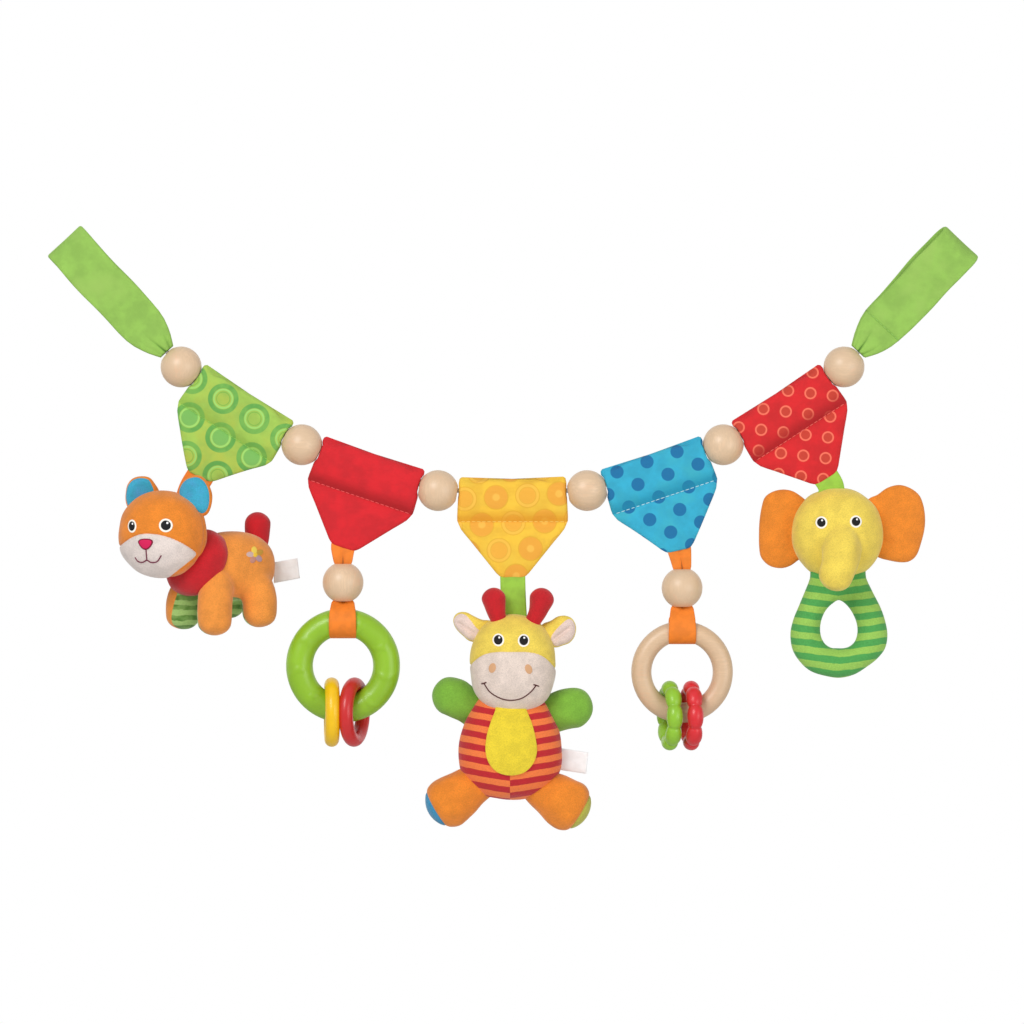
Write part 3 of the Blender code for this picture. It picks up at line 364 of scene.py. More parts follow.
def wovenCloth(name, colour, tint, paint, sheen):
    # plain weave: two crossed sets of ridges, with the print laid over the colour
    material, tree, shader = newFinish(name, 0.82, Sheen_Weight=sheen, Sheen_Roughness=0.45)
    base = mottled(tree, colour, clothWeave["patch"], 0.045, tint)
    if paint:
        base = paint(tree, base)
    place = onObject(tree, turn=(0, math.radians(45), 0))
    weave = calc(tree, "ADD", ridges(tree, place, clothWeave["thread"], "X", 1.5, 2.0),
                 ridges(tree, place, clothWeave["thread"], "Z", 1.5, 2.0))
    # painted shade: the colour is a little darker in the low places of the weave, between the threads
    soft = mixed(tree, 0.06, base, mixed(tree, calc(tree, "MULTIPLY", weave, 0.5), shade(colour, 0.6), base))
    tree.links.new(soft, shader.inputs["Base Color"])
    height = calc(tree, "MULTIPLY_ADD", cloud(tree, onObject(tree), 2.2 * mm), 1.6, weave)
    raiseBy(tree, shader, height, clothWeave["depth"])
    return material


plushPile = {"tuft": 0.55 * mm, "depth": 0.22 * mm, "patch": 7 * mm}


def plush(name, colour, tint=None, paint=None, sheen=0.3):
    # short pile: fine tufts with painted shade between them, and patches where the pile was stroked another way
    material, tree, shader = newFinish(name, 0.95, Sheen_Weight=sheen, Sheen_Roughness=0.4)
    base = mottled(tree, colour, plushPile["patch"], 0.035, tint)
    if paint:
        base = paint(tree, base)
    tufts = cloud(tree, onObject(tree), plushPile["tuft"], 4.0, 0.7)
    # painted shade: the colour is darkened towards black in the low places between the tufts
    deep = mixed(tree, calc(tree, "MULTIPLY", edgeOf(tree, tufts, 0.62, 0.36), 0.2), base, shade((0, 0, 0)),
                 "MULTIPLY")
    tree.links.new(deep, shader.inputs["Base Color"])
    raiseBy(tree, shader, tufts, plushPile["depth"])
    return material


def turnedWood(name, colour, grain):
    # fine straight grain: a noise drawn out along the grain, with small dark flecks of ray
    material, tree, shader = newFinish(name, 0.42, Coat_Weight=0.12, Coat_Roughness=0.3)
    stretch = {"X": (0.12, 1, 1), "Z": (1, 1, 0.12)}[grain]
    fibres = cloud(tree, onObject(tree, stretch), 1.1 * mm, 5.0, 0.65)
    bands = cloud(tree, onObject(tree, tuple(value * 0.6 for value in stretch)), 5 * mm, 2.0)
    base = mixed(tree, edgeOf(tree, bands, 0.3, 0.7), shade(colour, 0.975), shade(colour, 1.02))
    blush = edgeOf(tree, cloud(tree, onObject(tree), 9 * mm, 1.0), 0.5, 0.8)
    base = mixed(tree, blush, base, shade(np.array(colour) * (1.0, 0.95, 0.93)))
    base = mixed(tree, edgeOf(tree, fibres, 0.66, 0.40), base, shade(colour, 0.97))
    flecks = cloud(tree, onObject(tree, tuple(value * 2 for value in stretch)), 0.9 * mm, 1.0)
    flecks = calc(tree, "MULTIPLY", edgeOf(tree, flecks, 0.68, 0.76), 0.4)
    base = mixed(tree, flecks, base, shade(colour, 0.9))
    tree.links.new(base, shader.inputs["Base Color"])
    raiseBy(tree, shader, fibres, 0.012 * mm)
    return material


def mouldedPlastic(name, colour, roughness):
    # a soft gloss, a little see-through at its edges and dulled in patches by wear
    material, tree, shader = newFinish(name, roughness, Coat_Weight=0.06, Specular_IOR_Level=0.4)
    shader.inputs["Subsurface Weight"].default_value = 0.08
    shader.inputs["Subsurface Radius"].default_value = (2 * mm, 1.5 * mm, mm)
    tree.links.new(mottled(tree, colour, 14 * mm, 0.02), shader.inputs["Base Color"])
    worn = edgeOf(tree, cloud(tree, onObject(tree), 5 * mm, 4.0), 0.3, 0.75)
    tree.links.new(calc(tree, "MULTIPLY_ADD", worn, 0.12, roughness - 0.05), shader.inputs["Roughness"])
    raiseBy(tree, shader, cloud(tree, onObject(tree), 1.2 * mm), 0.02 * mm)
    return material


ribbonRib = {"period": 0.55 * mm, "depth": 0.02 * mm}


def ribbedRibbon(name, colour):
    # a close ribbed ribbon: ridges run across it, and its crease is darker, as painted shade
    material, tree, shader = newFinish(name, 0.7, Sheen_Weight=0.08, Sheen_Roughness=0.35)
    place = markOf(tree, "alongRibbon")
    rib = ridges(tree, place, ribbonRib["period"], "X", 0.6, 3.0)
    base = mottled(tree, colour, 5 * mm, 0.04)
    base = mixed(tree, calc(tree, "MULTIPLY", rib, 0.12), base, shade(colour, 0.92))
    # painted shade in the crease: the mark's third part says how deep in it a point lies
    base = mixed(tree, edgeOf(tree, partsOf(tree, place)[2], 0.2 * mm, 0.9 * mm), base, shade(colour, 0.6))
    tree.links.new(base, shader.inputs["Base Color"])
    raiseBy(tree, shader, rib, ribbonRib["depth"])
    return material


def threadFinish(name, colour):
    # embroidery: fine strands that lie side by side
    material, tree, shader = newFinish(name, 0.7, Specular_IOR_Level=0.25)
    strands = ridges(tree, onObject(tree, turn=(0, math.radians(20), 0)), 0.35 * mm, "X", 0.8, 2.0)
    base = mixed(tree, calc(tree, "MULTIPLY", strands, 0.2), shade(colour), shade(colour, 0.9))
    tree.links.new(base, shader.inputs["Base Color"])
    raiseBy(tree, shader, strands, 0.012 * mm)
    return material


# Prints, worked out on the pennant's own plane: across and up in metres

def panelPlace(tree):
    parts = partsOf(tree, markOf(tree, "onPanel"))
    return parts[0], parts[1]


def latticeDistance(tree, across, up, spacing, rows, start, tilt=0.0, stagger=0.5, cycle=2.0):
    # distance to the nearest point of a lattice: each row is shifted by a share of the spacing more than the
    # row below it, and starts again after a cycle of rows
    c, s = math.cos(tilt), math.sin(tilt)
    x = calc(tree, "SUBTRACT", across, start[0])
    y = calc(tree, "SUBTRACT", up, start[1])
    u = calc(tree, "ADD", calc(tree, "MULTIPLY", x, c), calc(tree, "MULTIPLY", y, s))
    v = calc(tree, "SUBTRACT", calc(tree, "MULTIPLY", y, c), calc(tree, "MULTIPLY", x, s))
    v = calc(tree, "DIVIDE", v, rows)
    row = calc(tree, "ROUND", v)
    odd = calc(tree, "FLOORED_MODULO", row, cycle)
    u = calc(tree, "SUBTRACT", calc(tree, "DIVIDE", u, spacing), calc(tree, "MULTIPLY", odd, stagger))
    u = calc(tree, "MULTIPLY", calc(tree, "SUBTRACT", u, calc(tree, "ROUND", u)), spacing)
    v = calc(tree, "MULTIPLY", calc(tree, "SUBTRACT", v, row), rows)
    return calc(tree, "SQRT", calc(tree, "ADD", calc(tree, "MULTIPLY", u, u), calc(tree, "MULTIPLY", v, v)))


def bandMask(tree, distance, inner, outer, soft=0.25 * mm):
    # 1 between the inner and the outer distance
    inside = edgeOf(tree, distance, inner - soft, inner + soft) if inner else 1.0
    return calc(tree, "MULTIPLY", inside, edgeOf(tree, distance, outer + soft, outer - soft))


# The animals' shared shapes and finishes

def mm3(*values):
    return np.array(values, float) * mm


def addPlush(node, body, piece):
    return dress(piece, body, [node])


plushColours = {
    "orange": (242, 140, 40), "red": (204, 24, 36), "yellow": (248, 218, 90), "green": (128, 184, 60),
    "cream": (236, 218, 206), "pinkCream": (240, 216, 206), "belly": (238, 212, 52),
}
plushOf = {name: plush(name + "Plush", colour) for name, colour in plushColours.items()}


def closedCurve(knots, count):
    # a Catmull-Rom curve through the knots that closes on itself
    knots = np.asarray(knots, float)
    at = np.linspace(0, len(knots), count, endpoint=False)
    index = at.astype(int)
    around = (knots[(index + shift) % len(knots)] for shift in (-1, 0, 1, 2))
    return catmullRom(*around, (at - index)[:, None])


def rimReach(curve, middle, places):
    # how far the closed curve lies from its middle in the direction of each place
    rim, away = curve - middle, places - middle
    angles = np.arctan2(rim[:, 1], rim[:, 0])
    order = np.argsort(angles)
    return np.interp(np.arctan2(away[..., 1], away[..., 0]), angles[order],
                     np.linalg.norm(rim, axis=1)[order], period=tau)


def oval(place, half, tilt=0.0, power=2.0, narrow=0.0):
    # a superellipse's outline, narrowed towards its foot by a share
    around = np.linspace(0, tau, 40, endpoint=False)
    reach = (np.abs(np.cos(around))**power + np.abs(np.sin(around))**power) ** (-1 / power)
    x = reach * np.cos(around) * half[0] * (1 + narrow * np.sin(around))
    z = reach * np.sin(around) * half[1]
    c, s = math.cos(tilt), math.sin(tilt)
    return np.stack([place[0] + x * c - z * s, place[1] + x * s + z * c], axis=-1) * mm


def padOn(name, form, curve, lift, material, sink=0.8, rings=9):
    # a low pad on the form's front within an outline: lifted most at its middle, its rim tucked in
    middle = curve.mean(axis=0)
    out = np.sin(np.linspace(0.06, 1, rings) * math.pi / 2)[:, None, None]
    spots = towards(form, (middle + (curve - middle) * out).reshape(-1, 2))
    outward = normalsOn(form, spots)
    height = lift * (0.5 + 0.5 * np.sqrt(np.clip(1 - out**2, 0, 1)))
    height = np.where(out > 0.995, -0.3, height) * np.ones((1, len(curve), 1)) * mm
    top = (spots + outward * height.reshape(-1, 1)).reshape(rings, len(curve), 3)
    under = (spots - outward * sink * mm).reshape(rings, len(curve), 3)[::-1]
    return closedPiece(name, np.concatenate([top, under]), material)


def patch(name, body, form, curve, lift, colour):
    return dress(padOn(name, form, curve, lift, threadFinish(name + "Thread", colour)), body)


def eyeAt(name, body, form, place, half, glintAt=(0.3, 0.45), rim=1.4):
    # an embroidered eye: a black oval on a white one, with a small white glint
    place, half = np.array(place), np.array(half)
    patch(name + "_white", body, form, oval(place, half * rim), 0.3, (253, 248, 238))
    patch(name + "_black", body, form, oval(place, half), 0.62, (10, 9, 10))
    patch(name + "_glint", body, form, oval(place + half * glintAt, half * 0.24), 0.85, (255, 255, 255))


def strokeOn(name, body, form, places, radius, colour, count):
    # a thread that follows the form: its places go round a smooth line through the given ones
    line = smoothPath(np.array([[x, 0, z] for x, z in places]) * mm, count)
    spots = towards(form, line[:, [0, 2]])
    path = spots + normalsOn(form, spots) * radius * mm * 0.35
    ends = np.clip(np.minimum(np.arange(count), np.arange(count)[::-1]) / 2 + 0.5, 0, 1)
    return dress(tubeAlong(name, path, radius * mm * ends, threadFinish(name + "Thread", colour), 8), body)


seamSink = {"ramp": 1.1 * mm, "start": 0.25, "under": 1.5 * mm, "dent": 0.35 * mm, "dentWidth": mm}


def sunkSkin(name, points, middle, depth, sign, material):
    # the skin is sunk where the seam's other side shows, with a dent at the seam itself
    outward = points - middle
    outward /= np.linalg.norm(outward, axis=-1)[..., None]
    under = np.clip(sign * depth / seamSink["ramp"] + seamSink["start"], 0, 1) * seamSink["under"]
    sink = under + seamSink["dent"] * np.exp(-(depth / seamSink["dentWidth"])**2)
    return closedPiece(name, points - outward * sink[..., None], material)


def splitSkin(name, form, inside, outer, inner):
    # the same skin twice, once for each side of the seam
    points = formPoints(form, formWays(90, 140))
    depth = inside(onPicture(points), points)
    return [sunkSkin(f"{name}_{part}", points, form["centre"], depth, sign, material)
            for part, material, sign in (("outer", outer, 1), ("inner", inner, -1))]


def fused(name, pieces, material, voxel, smooth, mark=None, frameOf=None):
    # the pieces' union on a fine voxel grid, its creases softened by a few rounds of smoothing
    points, faces, shift = [], [], 0
    for piece in pieces:
        coordinates = np.empty(len(piece.data.vertices) * 3)
        piece.data.vertices.foreach_get("co", coordinates)
        points.append(coordinates.reshape(-1, 3))
        faces.extend([[index + shift for index in polygon.vertices] for polygon in piece.data.polygons])
        shift += len(points[-1])
        bpy.data.objects.remove(piece)
    mesh = bpy.data.meshes.new(name + "_parts")
    mesh.from_pydata(np.concatenate(points).tolist(), [], faces)
    rough = addObject(name + "_parts", mesh)
    remesh = rough.modifiers.new("union", "REMESH")
    remesh.mode, remesh.voxel_size = "VOXEL", voxel
    soften = rough.modifiers.new("soften", "SMOOTH")
    soften.factor, soften.iterations = 0.5, smooth
    graph = bpy.context.evaluated_depsgraph_get()
    made = bpy.data.meshes.new_from_object(rough.evaluated_get(graph))
    bpy.data.objects.remove(rough)
    coordinates = np.empty(len(made.vertices) * 3)
    made.vertices.foreach_get("co", coordinates)
    if mark:
        layer = made.attributes.new(mark, "FLOAT_VECTOR", "POINT")
        layer.data.foreach_set("vector", frameOf(coordinates.reshape(-1, 3)).astype(np.float32).ravel())
    made.shade_smooth()
    made.materials.clear()
    made.materials.append(material)
    return addObject(name, made)


def stripes(period, first, second, slope, wave, place, jump=0.0):
    # printed bands that repeat down the piece and rise away from its middle line by the slope. On the right
    # they are shifted by the jump, as two cut pieces of cloth meet there.
    def paint(tree, _):
        parts = partsOf(tree, onObject(tree))
        across = calc(tree, "SUBTRACT", parts[0], place[0])
        level = calc(tree, "SUBTRACT", parts[2], place[1])
        rise = calc(tree, "MULTIPLY", calc(tree, "ABSOLUTE", across), slope)
        right = calc(tree, "MULTIPLY", calc(tree, "GREATER_THAN", across, 0.0), jump)
        level = calc(tree, "ADD", calc(tree, "SUBTRACT", level, rise), right)
        lumps = cloud(tree, onObject(tree), 9 * mm)
        wobble = calc(tree, "MULTIPLY", calc(tree, "SUBTRACT", lumps, 0.5), wave)
        phase = calc(tree, "SINE", calc(tree, "MULTIPLY", calc(tree, "ADD", level, wobble), tau / period))
        return mixed(tree, edgeOf(tree, phase, -0.14, 0.14), shade(first), shade(second))
    return paint


def addFlap(node, body, flap, material, liningFinish=None):
    # a padded flap from its outline on the picture: a plane that may lean, a swell before and behind it, a
    # hollow in its front and creases. A lining lies on its front within an outline of its own.
    curve = closedCurve(np.array(flap["outline"]) * mm, 110)
    middle = curve.mean(axis=0)

    def planeAndSwell(places):
        share = np.clip(np.linalg.norm(places - middle, axis=-1) / rimReach(curve, middle, places), 0, 1)
        plane = flap["depth"] * mm + (places - middle) @ np.array(flap.get("lean", (0, 0)))
        swell = flap["thick"] * mm * (1 - share**2.6)**0.5
        front = swell - flap.get("hollow", 0) * mm * np.exp(-(share / 0.6)**4)
        for start, end, deep, width in flap.get("creases", ()):
            start, end = np.array(start) * mm, np.array(end) * mm
            along = np.clip((places - start) @ (end - start) / ((end - start) @ (end - start)), 0, 1)
            gap = np.linalg.norm(places - start - along[..., None] * (end - start), axis=-1)
            front = front - deep * mm * np.exp(-(gap / (width * mm))**2)
        return plane, front, swell

    out = np.sin(np.linspace(0.04, 1, 20) * math.pi / 2)[:, None, None]
    places = middle + (curve - middle) * out
    plane, front, swell = planeAndSwell(places)
    back = (plane + swell)[::-1] + np.array([0.12 * mm] + [0] * 19)[:, None]
    rows = np.concatenate([fromPicture(places, plane - front), fromPicture(places[::-1], back)])
    rows = uneven(rows, 10 * mm, 0.2 * mm, len(node))
    dress(closedPiece(node + "_cloth", rows, material), body, [node])
    if liningFinish:
        inner = closedCurve(np.array(flap["lining"]) * mm, 90)
        inset = inner.mean(axis=0) + (inner - inner.mean(axis=0)) * out
        plane, front, _ = planeAndSwell(inset)
        share = out[..., 0]
        top = plane - front - 0.35 * mm * (1 - share**8) + 0.1 * mm * share**12
        rows = np.concatenate([fromPicture(inset, top), fromPicture(inset[::-1], (top + mm)[::-1])])
        rows = uneven(rows, 10 * mm, 0.2 * mm, len(node))
        dress(closedPiece(node + "_lining", rows, liningFinish), body)


def addLabel(node, body, corners, bend):
    # a small folded tape: a quadrilateral that bows a little between its sewn edge and its fold
    corners = np.array(corners, float) * mm
    u, v = np.linspace(0, 1, 24)[:, None, None], np.linspace(0, 1, 18)[None, :, None]
    flat = ((1 - u) * (1 - v) * corners[0] + u * (1 - v) * corners[1] + u * v * corners[2]
            + (1 - u) * v * corners[3])
    bow = bend * mm * (np.sin(u * math.pi) + 0.35 * np.sin(v * math.pi * 1.5 + 0.6))
    normal = np.cross(corners[1] - corners[0], corners[3] - corners[0])
    normal /= np.linalg.norm(normal)
    middle = flat + bow * normal
    half = 0.28 * mm
    rows = np.concatenate([middle + normal * half, (middle - normal * half)[:, ::-1]], axis=1)
    return dress(closedPiece(node + "_tape", rows, labelTape), body, [node])


labelTape = wovenCloth("labelTape", (250, 248, 247), (244, 241, 243), None, 0.1)


# The strand: six beads on an elastic cord, five pennants between them and a loop at each end

strand = {
    "beadRadius": 11.25 * mm, "bore": 3.5 * mm, "sidePitch": 79 * mm, "middlePitch": 82 * mm,
    "innerSlope": math.radians(18.6), "outerSlope": math.radians(32.8), "loopSlope": math.radians(47),
    "loopReach": 92.6 * mm,
}


def way(slope):
    return np.array([math.cos(slope), 0, math.sin(slope)])


def beadCentres():
    # the middle bead pair straddles x = 0, and each further bead lies a pitch away along its slope
    inner, outer, half = strand["innerSlope"], strand["outerSlope"], strand["middlePitch"] / 2
    pitch = strand["sidePitch"]
    low = -strand["loopReach"] * math.sin(strand["loopSlope"]) - pitch * (math.sin(inner) + math.sin(outer))
    right = [np.array([half, 0, low])]
    right.append(right[-1] + pitch * way(inner))
    right.append(right[-1] + pitch * way(outer))
    return [spot * (-1, 1, 1) for spot in reversed(right)] + right


beads = beadCentres()
slopes = [-strand["loopSlope"], -strand["outerSlope"], -strand["innerSlope"], 0.0,
          strand["innerSlope"], strand["outerSlope"], strand["loopSlope"]]
beech = {grain: turnedWood("beech" + grain, (224, 193, 159), grain) for grain in "XZ"}


def addBead(node, centre, axis, bore, material):
    # a ball's arc between the two mouths of the bore, then a rounded lip and the bore's wall, turned round
    radius, lip = strand["beadRadius"], 0.5 * mm
    mouth = math.asin((bore + lip) / radius)
    arc = np.linspace(mouth, math.pi - mouth, 40)
    profile = np.stack([radius * np.sin(arc), radius * np.cos(arc)], axis=-1)
    depth = radius * math.cos(mouth)
    bend = np.linspace(0.2, math.pi / 2, 4)[:, None]
    edge = np.concatenate([bore + lip * (1 - np.sin(bend)), -depth + lip * 0.8 * (1 - np.cos(bend))], axis=1)
    wall = np.stack([np.full(6, bore), np.linspace(-depth + lip, depth - lip, 6)], axis=-1)
    profile = np.concatenate([profile, edge, wall, edge[::-1] * (1, -1)])
    around = np.linspace(0, tau, 64, endpoint=False)[:, None]
    rows = np.stack([profile[:, 0] * np.cos(around), profile[:, 0] * np.sin(around),
                     profile[:, 1] * np.ones_like(around)], axis=-1)
    rows = rows @ turnFrom(axis).T + centre
    return dress(ringPiece(node + "_turned", rows, material), node, [node])


for number, centre in enumerate(beads):
    axis = way((slopes[number] + slopes[number + 1]) / 2)
    addBead(f"bead_{number + 1}", centre, axis, strand["bore"], beech["X" if number % 2 else "Z"])
elastic, elasticTree, elasticShader = newFinish("elasticBraid", 0.85, Sheen_Weight=0.2)
braid = ridges(elasticTree, onObject(elasticTree, turn=(0, math.radians(35), 0)), 0.7 * mm, "X")
# painted shade: the braid takes the darker colour in the low places between its strands
elasticTree.links.new(mixed(elasticTree, braid, shade((214, 210, 202)), shade((240, 238, 232))),
                      elasticShader.inputs["Base Color"])
raiseBy(elasticTree, elasticShader, braid, 0.08 * mm)
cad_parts["elastic_cord"].data.materials.clear()
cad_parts["elastic_cord"].data.materials.append(elastic)
print("beads")

pennant = {
    "rise": 7.8 * mm, "seam": -17.2 * mm, "drop": -46.4 * mm,
    "topHalf": 29.5 * mm, "sideHalf": 30.8 * mm, "tipHalf": 7.6 * mm,
    # front depth down the middle: the sleeve round the cord, the stitched line, then the padded flap
    "depths": ((7.8, 0.25), (7.5, 1.1), (6.6, 2.2), (4.5, 3.3), (1.0, 3.9), (-4.0, 3.95), (-8.0, 3.7),
               (-11.5, 3.1), (-14.0, 2.25), (-16.0, 1.15), (-17.2, 0.5), (-17.9, 1.0), (-19.5, 1.75),
               (-24.0, 2.35), (-32.0, 2.4), (-39.0, 2.1), (-43.0, 1.75), (-45.2, 1.45), (-46.1, 1.15),
               (-46.4, 0.8)),
    # how far each one's tip lies beside and above its place, its lower edge's slope, its top's sag
    "trims": ((1.7, 1.0, 0.13, 0), (0, 0, 0, 0), (0, -1.4, 0, 1.5), (-2.2, -0.9, -0.1, 0), (-1.7, 0, 0, 0)),
    # the gap to the beads, the cloth's half thickness at its rim, and the section's points
    "beadGap": 0.35 * mm, "rim": 0.28 * mm, "sides": 132, "stretch": 1.22,
    # from how far in the padding is rounded off towards the sides, by height
    "edges": ((-45, 3), (-38, 6), (-19, 7), (-16, 1.6)),
    # sizes and heights of the padding's lumps, its wrinkles and the top's waves
    "lumps": (17 * mm, 0.30 * mm), "wrinkles": (6 * mm, 0.10 * mm), "waves": (22 * mm, 0.4 * mm),
    # the puckers at the stitches: half their period along the seam, their height and how far they reach
    "pucker": (2.6 * mm, 0.12 * mm, 2.2 * mm),
    # the raised corners and the sag between them: height, and for the corners where they start and end
    "cornerLift": (0.9 * mm, 3 * mm, 4.8 * mm), "sag": 1.3 * mm,
    "stitch": (2.4 * mm, 0.4 * mm, 0.25 * mm), "stitchInset": 2.2 * mm, "stitchDepth": 0.7 * mm,
}


def pennantHalfWidth(up):
    # straight between the corners and rounded at each: the edge by its distance from the tip, seam and top
    p, tip, top = pennant, ((0, -1.8), (0.8, -0.3), (2.4, 1.5)), ((-3, 0.1), (-0.8, -0.35), (0, -1.6))
    side = ((-10.5, -8.0), (-7, -4.9), (-3.8, -2.3), (-1.4, -1.2), (0.6, -0.35), (3, -0.3))
    corners = ((p["drop"], p["tipHalf"], tip), (p["seam"], p["sideHalf"], side), (p["rise"], p["topHalf"], top))
    knots = [(level + above * mm, half + beside * mm)
             for level, half, spots in corners for above, beside in spots]
    return np.interp(up, *np.array(knots).T)


def stitchRun(name, path, outward, length, gap, radius, material):
    # short rounded threads laid end to end along a path, each a spindle of five six-sided rings whose ends
    # dip in
    steps = np.linalg.norm(np.diff(path, axis=0), axis=1)
    reached = np.concatenate([[0], np.cumsum(steps)])
    count = max(int(reached[-1] / (length + gap)), 1)
    starts = (np.arange(count) + 0.5) * reached[-1] / count
    shares = np.linspace(-0.5, 0.5, 5)
    at = starts[:, None] + shares * length
    spots = np.stack([np.interp(at, reached, path[:, axis]) for axis in range(3)], axis=-1)
    along = spots[:, -1] - spots[:, 0]
    along /= np.linalg.norm(along, axis=1)[:, None]
    out = np.broadcast_to(np.array(outward, float), along.shape)
    out = out - (out * along).sum(axis=1)[:, None] * along
    out /= np.linalg.norm(out, axis=1)[:, None]
    beside = np.cross(along, out)
    around = np.linspace(0, tau, 6, endpoint=False)
    thick = radius * np.array([0.35, 0.9, 1.0, 0.9, 0.35])
    dip = radius * np.array([-0.9, 0.1, 0.45, 0.1, -0.9])
    rows = (spots[:, :, None] + dip[None, :, None, None] * out[:, None, None]
            + thick[None, :, None, None] * (np.cos(around)[None, None, :, None] * out[:, None, None]
                                            + np.sin(around)[None, None, :, None] * beside[:, None, None]))
    faces = np.concatenate([gridFaces(5, 6), np.array([[0, 3, 2, 1], [0, 5, 4, 3], [24, 25, 26, 27],
                                                       [24, 27, 28, 29]])])
    allFaces = (faces[None] + (np.arange(count) * 30)[:, None, None]).reshape(-1, 4)
    return addMesh(name, rows.reshape(-1, 3), [allFaces], material)


def addPennant(node, left, right, trim, material, thread, seed):
    # each row is a flat loop across the pennant: its half width follows the outline, and its depth the
    # padding, rounded off towards the sides
    p = pennant
    heights, depths = np.array(p["depths"]).T * mm
    top, tip = p["rise"] / mm, p["drop"] / mm
    stretches = ((top, top - 3, 9), (4.2, -15.6, 34), (-16, -18.6, 14), (-19.2, -43, 38), (-43.4, tip, 8))
    up = np.concatenate([np.linspace(start, end, count) for start, end, count in stretches])[:, None] * mm
    across, rim, side = flatSection(p["sides"], p["stretch"])
    half = pennantHalfWidth(up)
    inFrom = np.clip((1 - np.abs(across)) * half / np.interp(up, *np.array(p["edges"]).T * mm), 0, 1)
    rounding = np.sqrt(1 - (1 - inFrom)**2)
    body = np.interp(up, heights[::-1], depths[::-1])
    depth = (p["rim"] * rim + (body - p["rim"]) * rounding) * side
    x = across * half
    flat = np.stack([x, depth, up * np.ones_like(x)], axis=-1)
    (lumpSize, lumpHeight), (wrinkleSize, wrinkleHeight), (waveSize, waveHeight) = (
        p[name] for name in ("lumps", "wrinkles", "waves"))
    puff = (softNoise(flat + seed, lumpSize, seed) * lumpHeight
            + softNoise(flat - seed, wrinkleSize, seed + 1) * wrinkleHeight)
    halfPeriod, pull, pullReach = p["pucker"]
    pucker = np.sin(x / halfPeriod * tau / 2 + seed) * pull * np.exp(-((up - p["seam"]) / pullReach)**2)
    depth = depth + side * (puff + pucker) * np.minimum(rounding, rim) * np.clip(np.abs(depth) / mm, 0, 1)
    lift, liftFrom, liftOver = p["cornerLift"]
    corner = lift * np.abs(across)**8 * np.clip((up - liftFrom) / liftOver, 0, 1)
    wave = softNoise(np.stack([x, 0 * x, 0 * x], axis=-1), waveSize, seed + 5) * waveHeight
    beside, above, askew, lower = trim
    sag = (p["sag"] * np.exp(-((np.abs(across) - 0.76) / 0.14)**2)
           + lower * mm * (1.0 + 0.4 * (1 - across**2)))
    nearTop = np.clip((up + 10 * mm) / (18 * mm), 0, 1)
    below = np.clip((p["seam"] - up) / (p["seam"] - p["drop"]), 0, 1)
    z = up + corner + (wave - sag) * nearTop + (above * mm + askew * x) * below
    x = x + beside * mm * below
    reach = np.linalg.norm(right - left) / 2
    ball = (strand["beadRadius"] + p["beadGap"])**2 - z**2 - depth**2
    limit = reach - np.sqrt(np.clip(ball, 0, None))
    x = np.where(ball > 0, np.clip(x, -limit, limit), x)
    along = (right - left) / np.linalg.norm(right - left)
    upward = np.array([-along[2], 0, along[0]])
    middle = (left + right) / 2
    rows = middle + x[..., None] * along + z[..., None] * upward + depth[..., None] * np.array([0, 1, 0])
    marks = np.stack([x, z, side * np.ones_like(x)], axis=-1)
    piece = closedPiece(node + "_cloth", rows, material, {"onPanel": marks})
    dress(piece, node, [node])
    run = np.linspace(-p["sideHalf"] + p["stitchInset"], p["sideHalf"] - p["stitchInset"], 60)[:, None]
    for facing, name in ((-1, "front"), (1, "back")):
        line = (middle + run * along + (p["seam"] + 0.1 * mm) * upward
                + np.array([0, facing * p["stitchDepth"], 0]))
        dress(stitchRun(f"{node}_{name}_stitches", line, (0, facing, 0), *p["stitch"], thread), node)


def greenRings(tree, base):
    across, up = panelPlace(tree)
    spacing, rows, start = 20.3 * mm, 18.7 * mm, (-10.3 * mm, -2.1 * mm)
    distance = latticeDistance(tree, across, up, spacing, rows, start)
    twice = latticeDistance(tree, across, up, spacing, 2 * rows, start, stagger=0.0)
    filled = calc(tree, "LESS_THAN", distance, calc(tree, "SUBTRACT", twice, 0.1 * mm))
    ring = bandMask(tree, distance, 5.8 * mm, 8.4 * mm)
    dark = mixed(tree, edgeOf(tree, cloud(tree, onObject(tree), 7 * mm), 0.35, 0.65), shade((98, 168, 76)),
                 shade((122, 184, 82)))
    base = mixed(tree, ring, base, dark)
    base = mixed(tree, bandMask(tree, distance, 4.6 * mm, 5.5 * mm), base, shade((160, 220, 112)))
    disc = calc(tree, "MULTIPLY", bandMask(tree, distance, 0, 4.5 * mm), filled)
    base = mixed(tree, disc, base, shade((124, 188, 92)))
    outline = calc(tree, "SUBTRACT", bandMask(tree, distance, 3.4 * mm, 3.9 * mm, 0.15 * mm), filled)
    return mixed(tree, calc(tree, "MAXIMUM", calc(tree, "MULTIPLY", outline, 0.75), 0.0), base,
                 shade((112, 178, 70)))


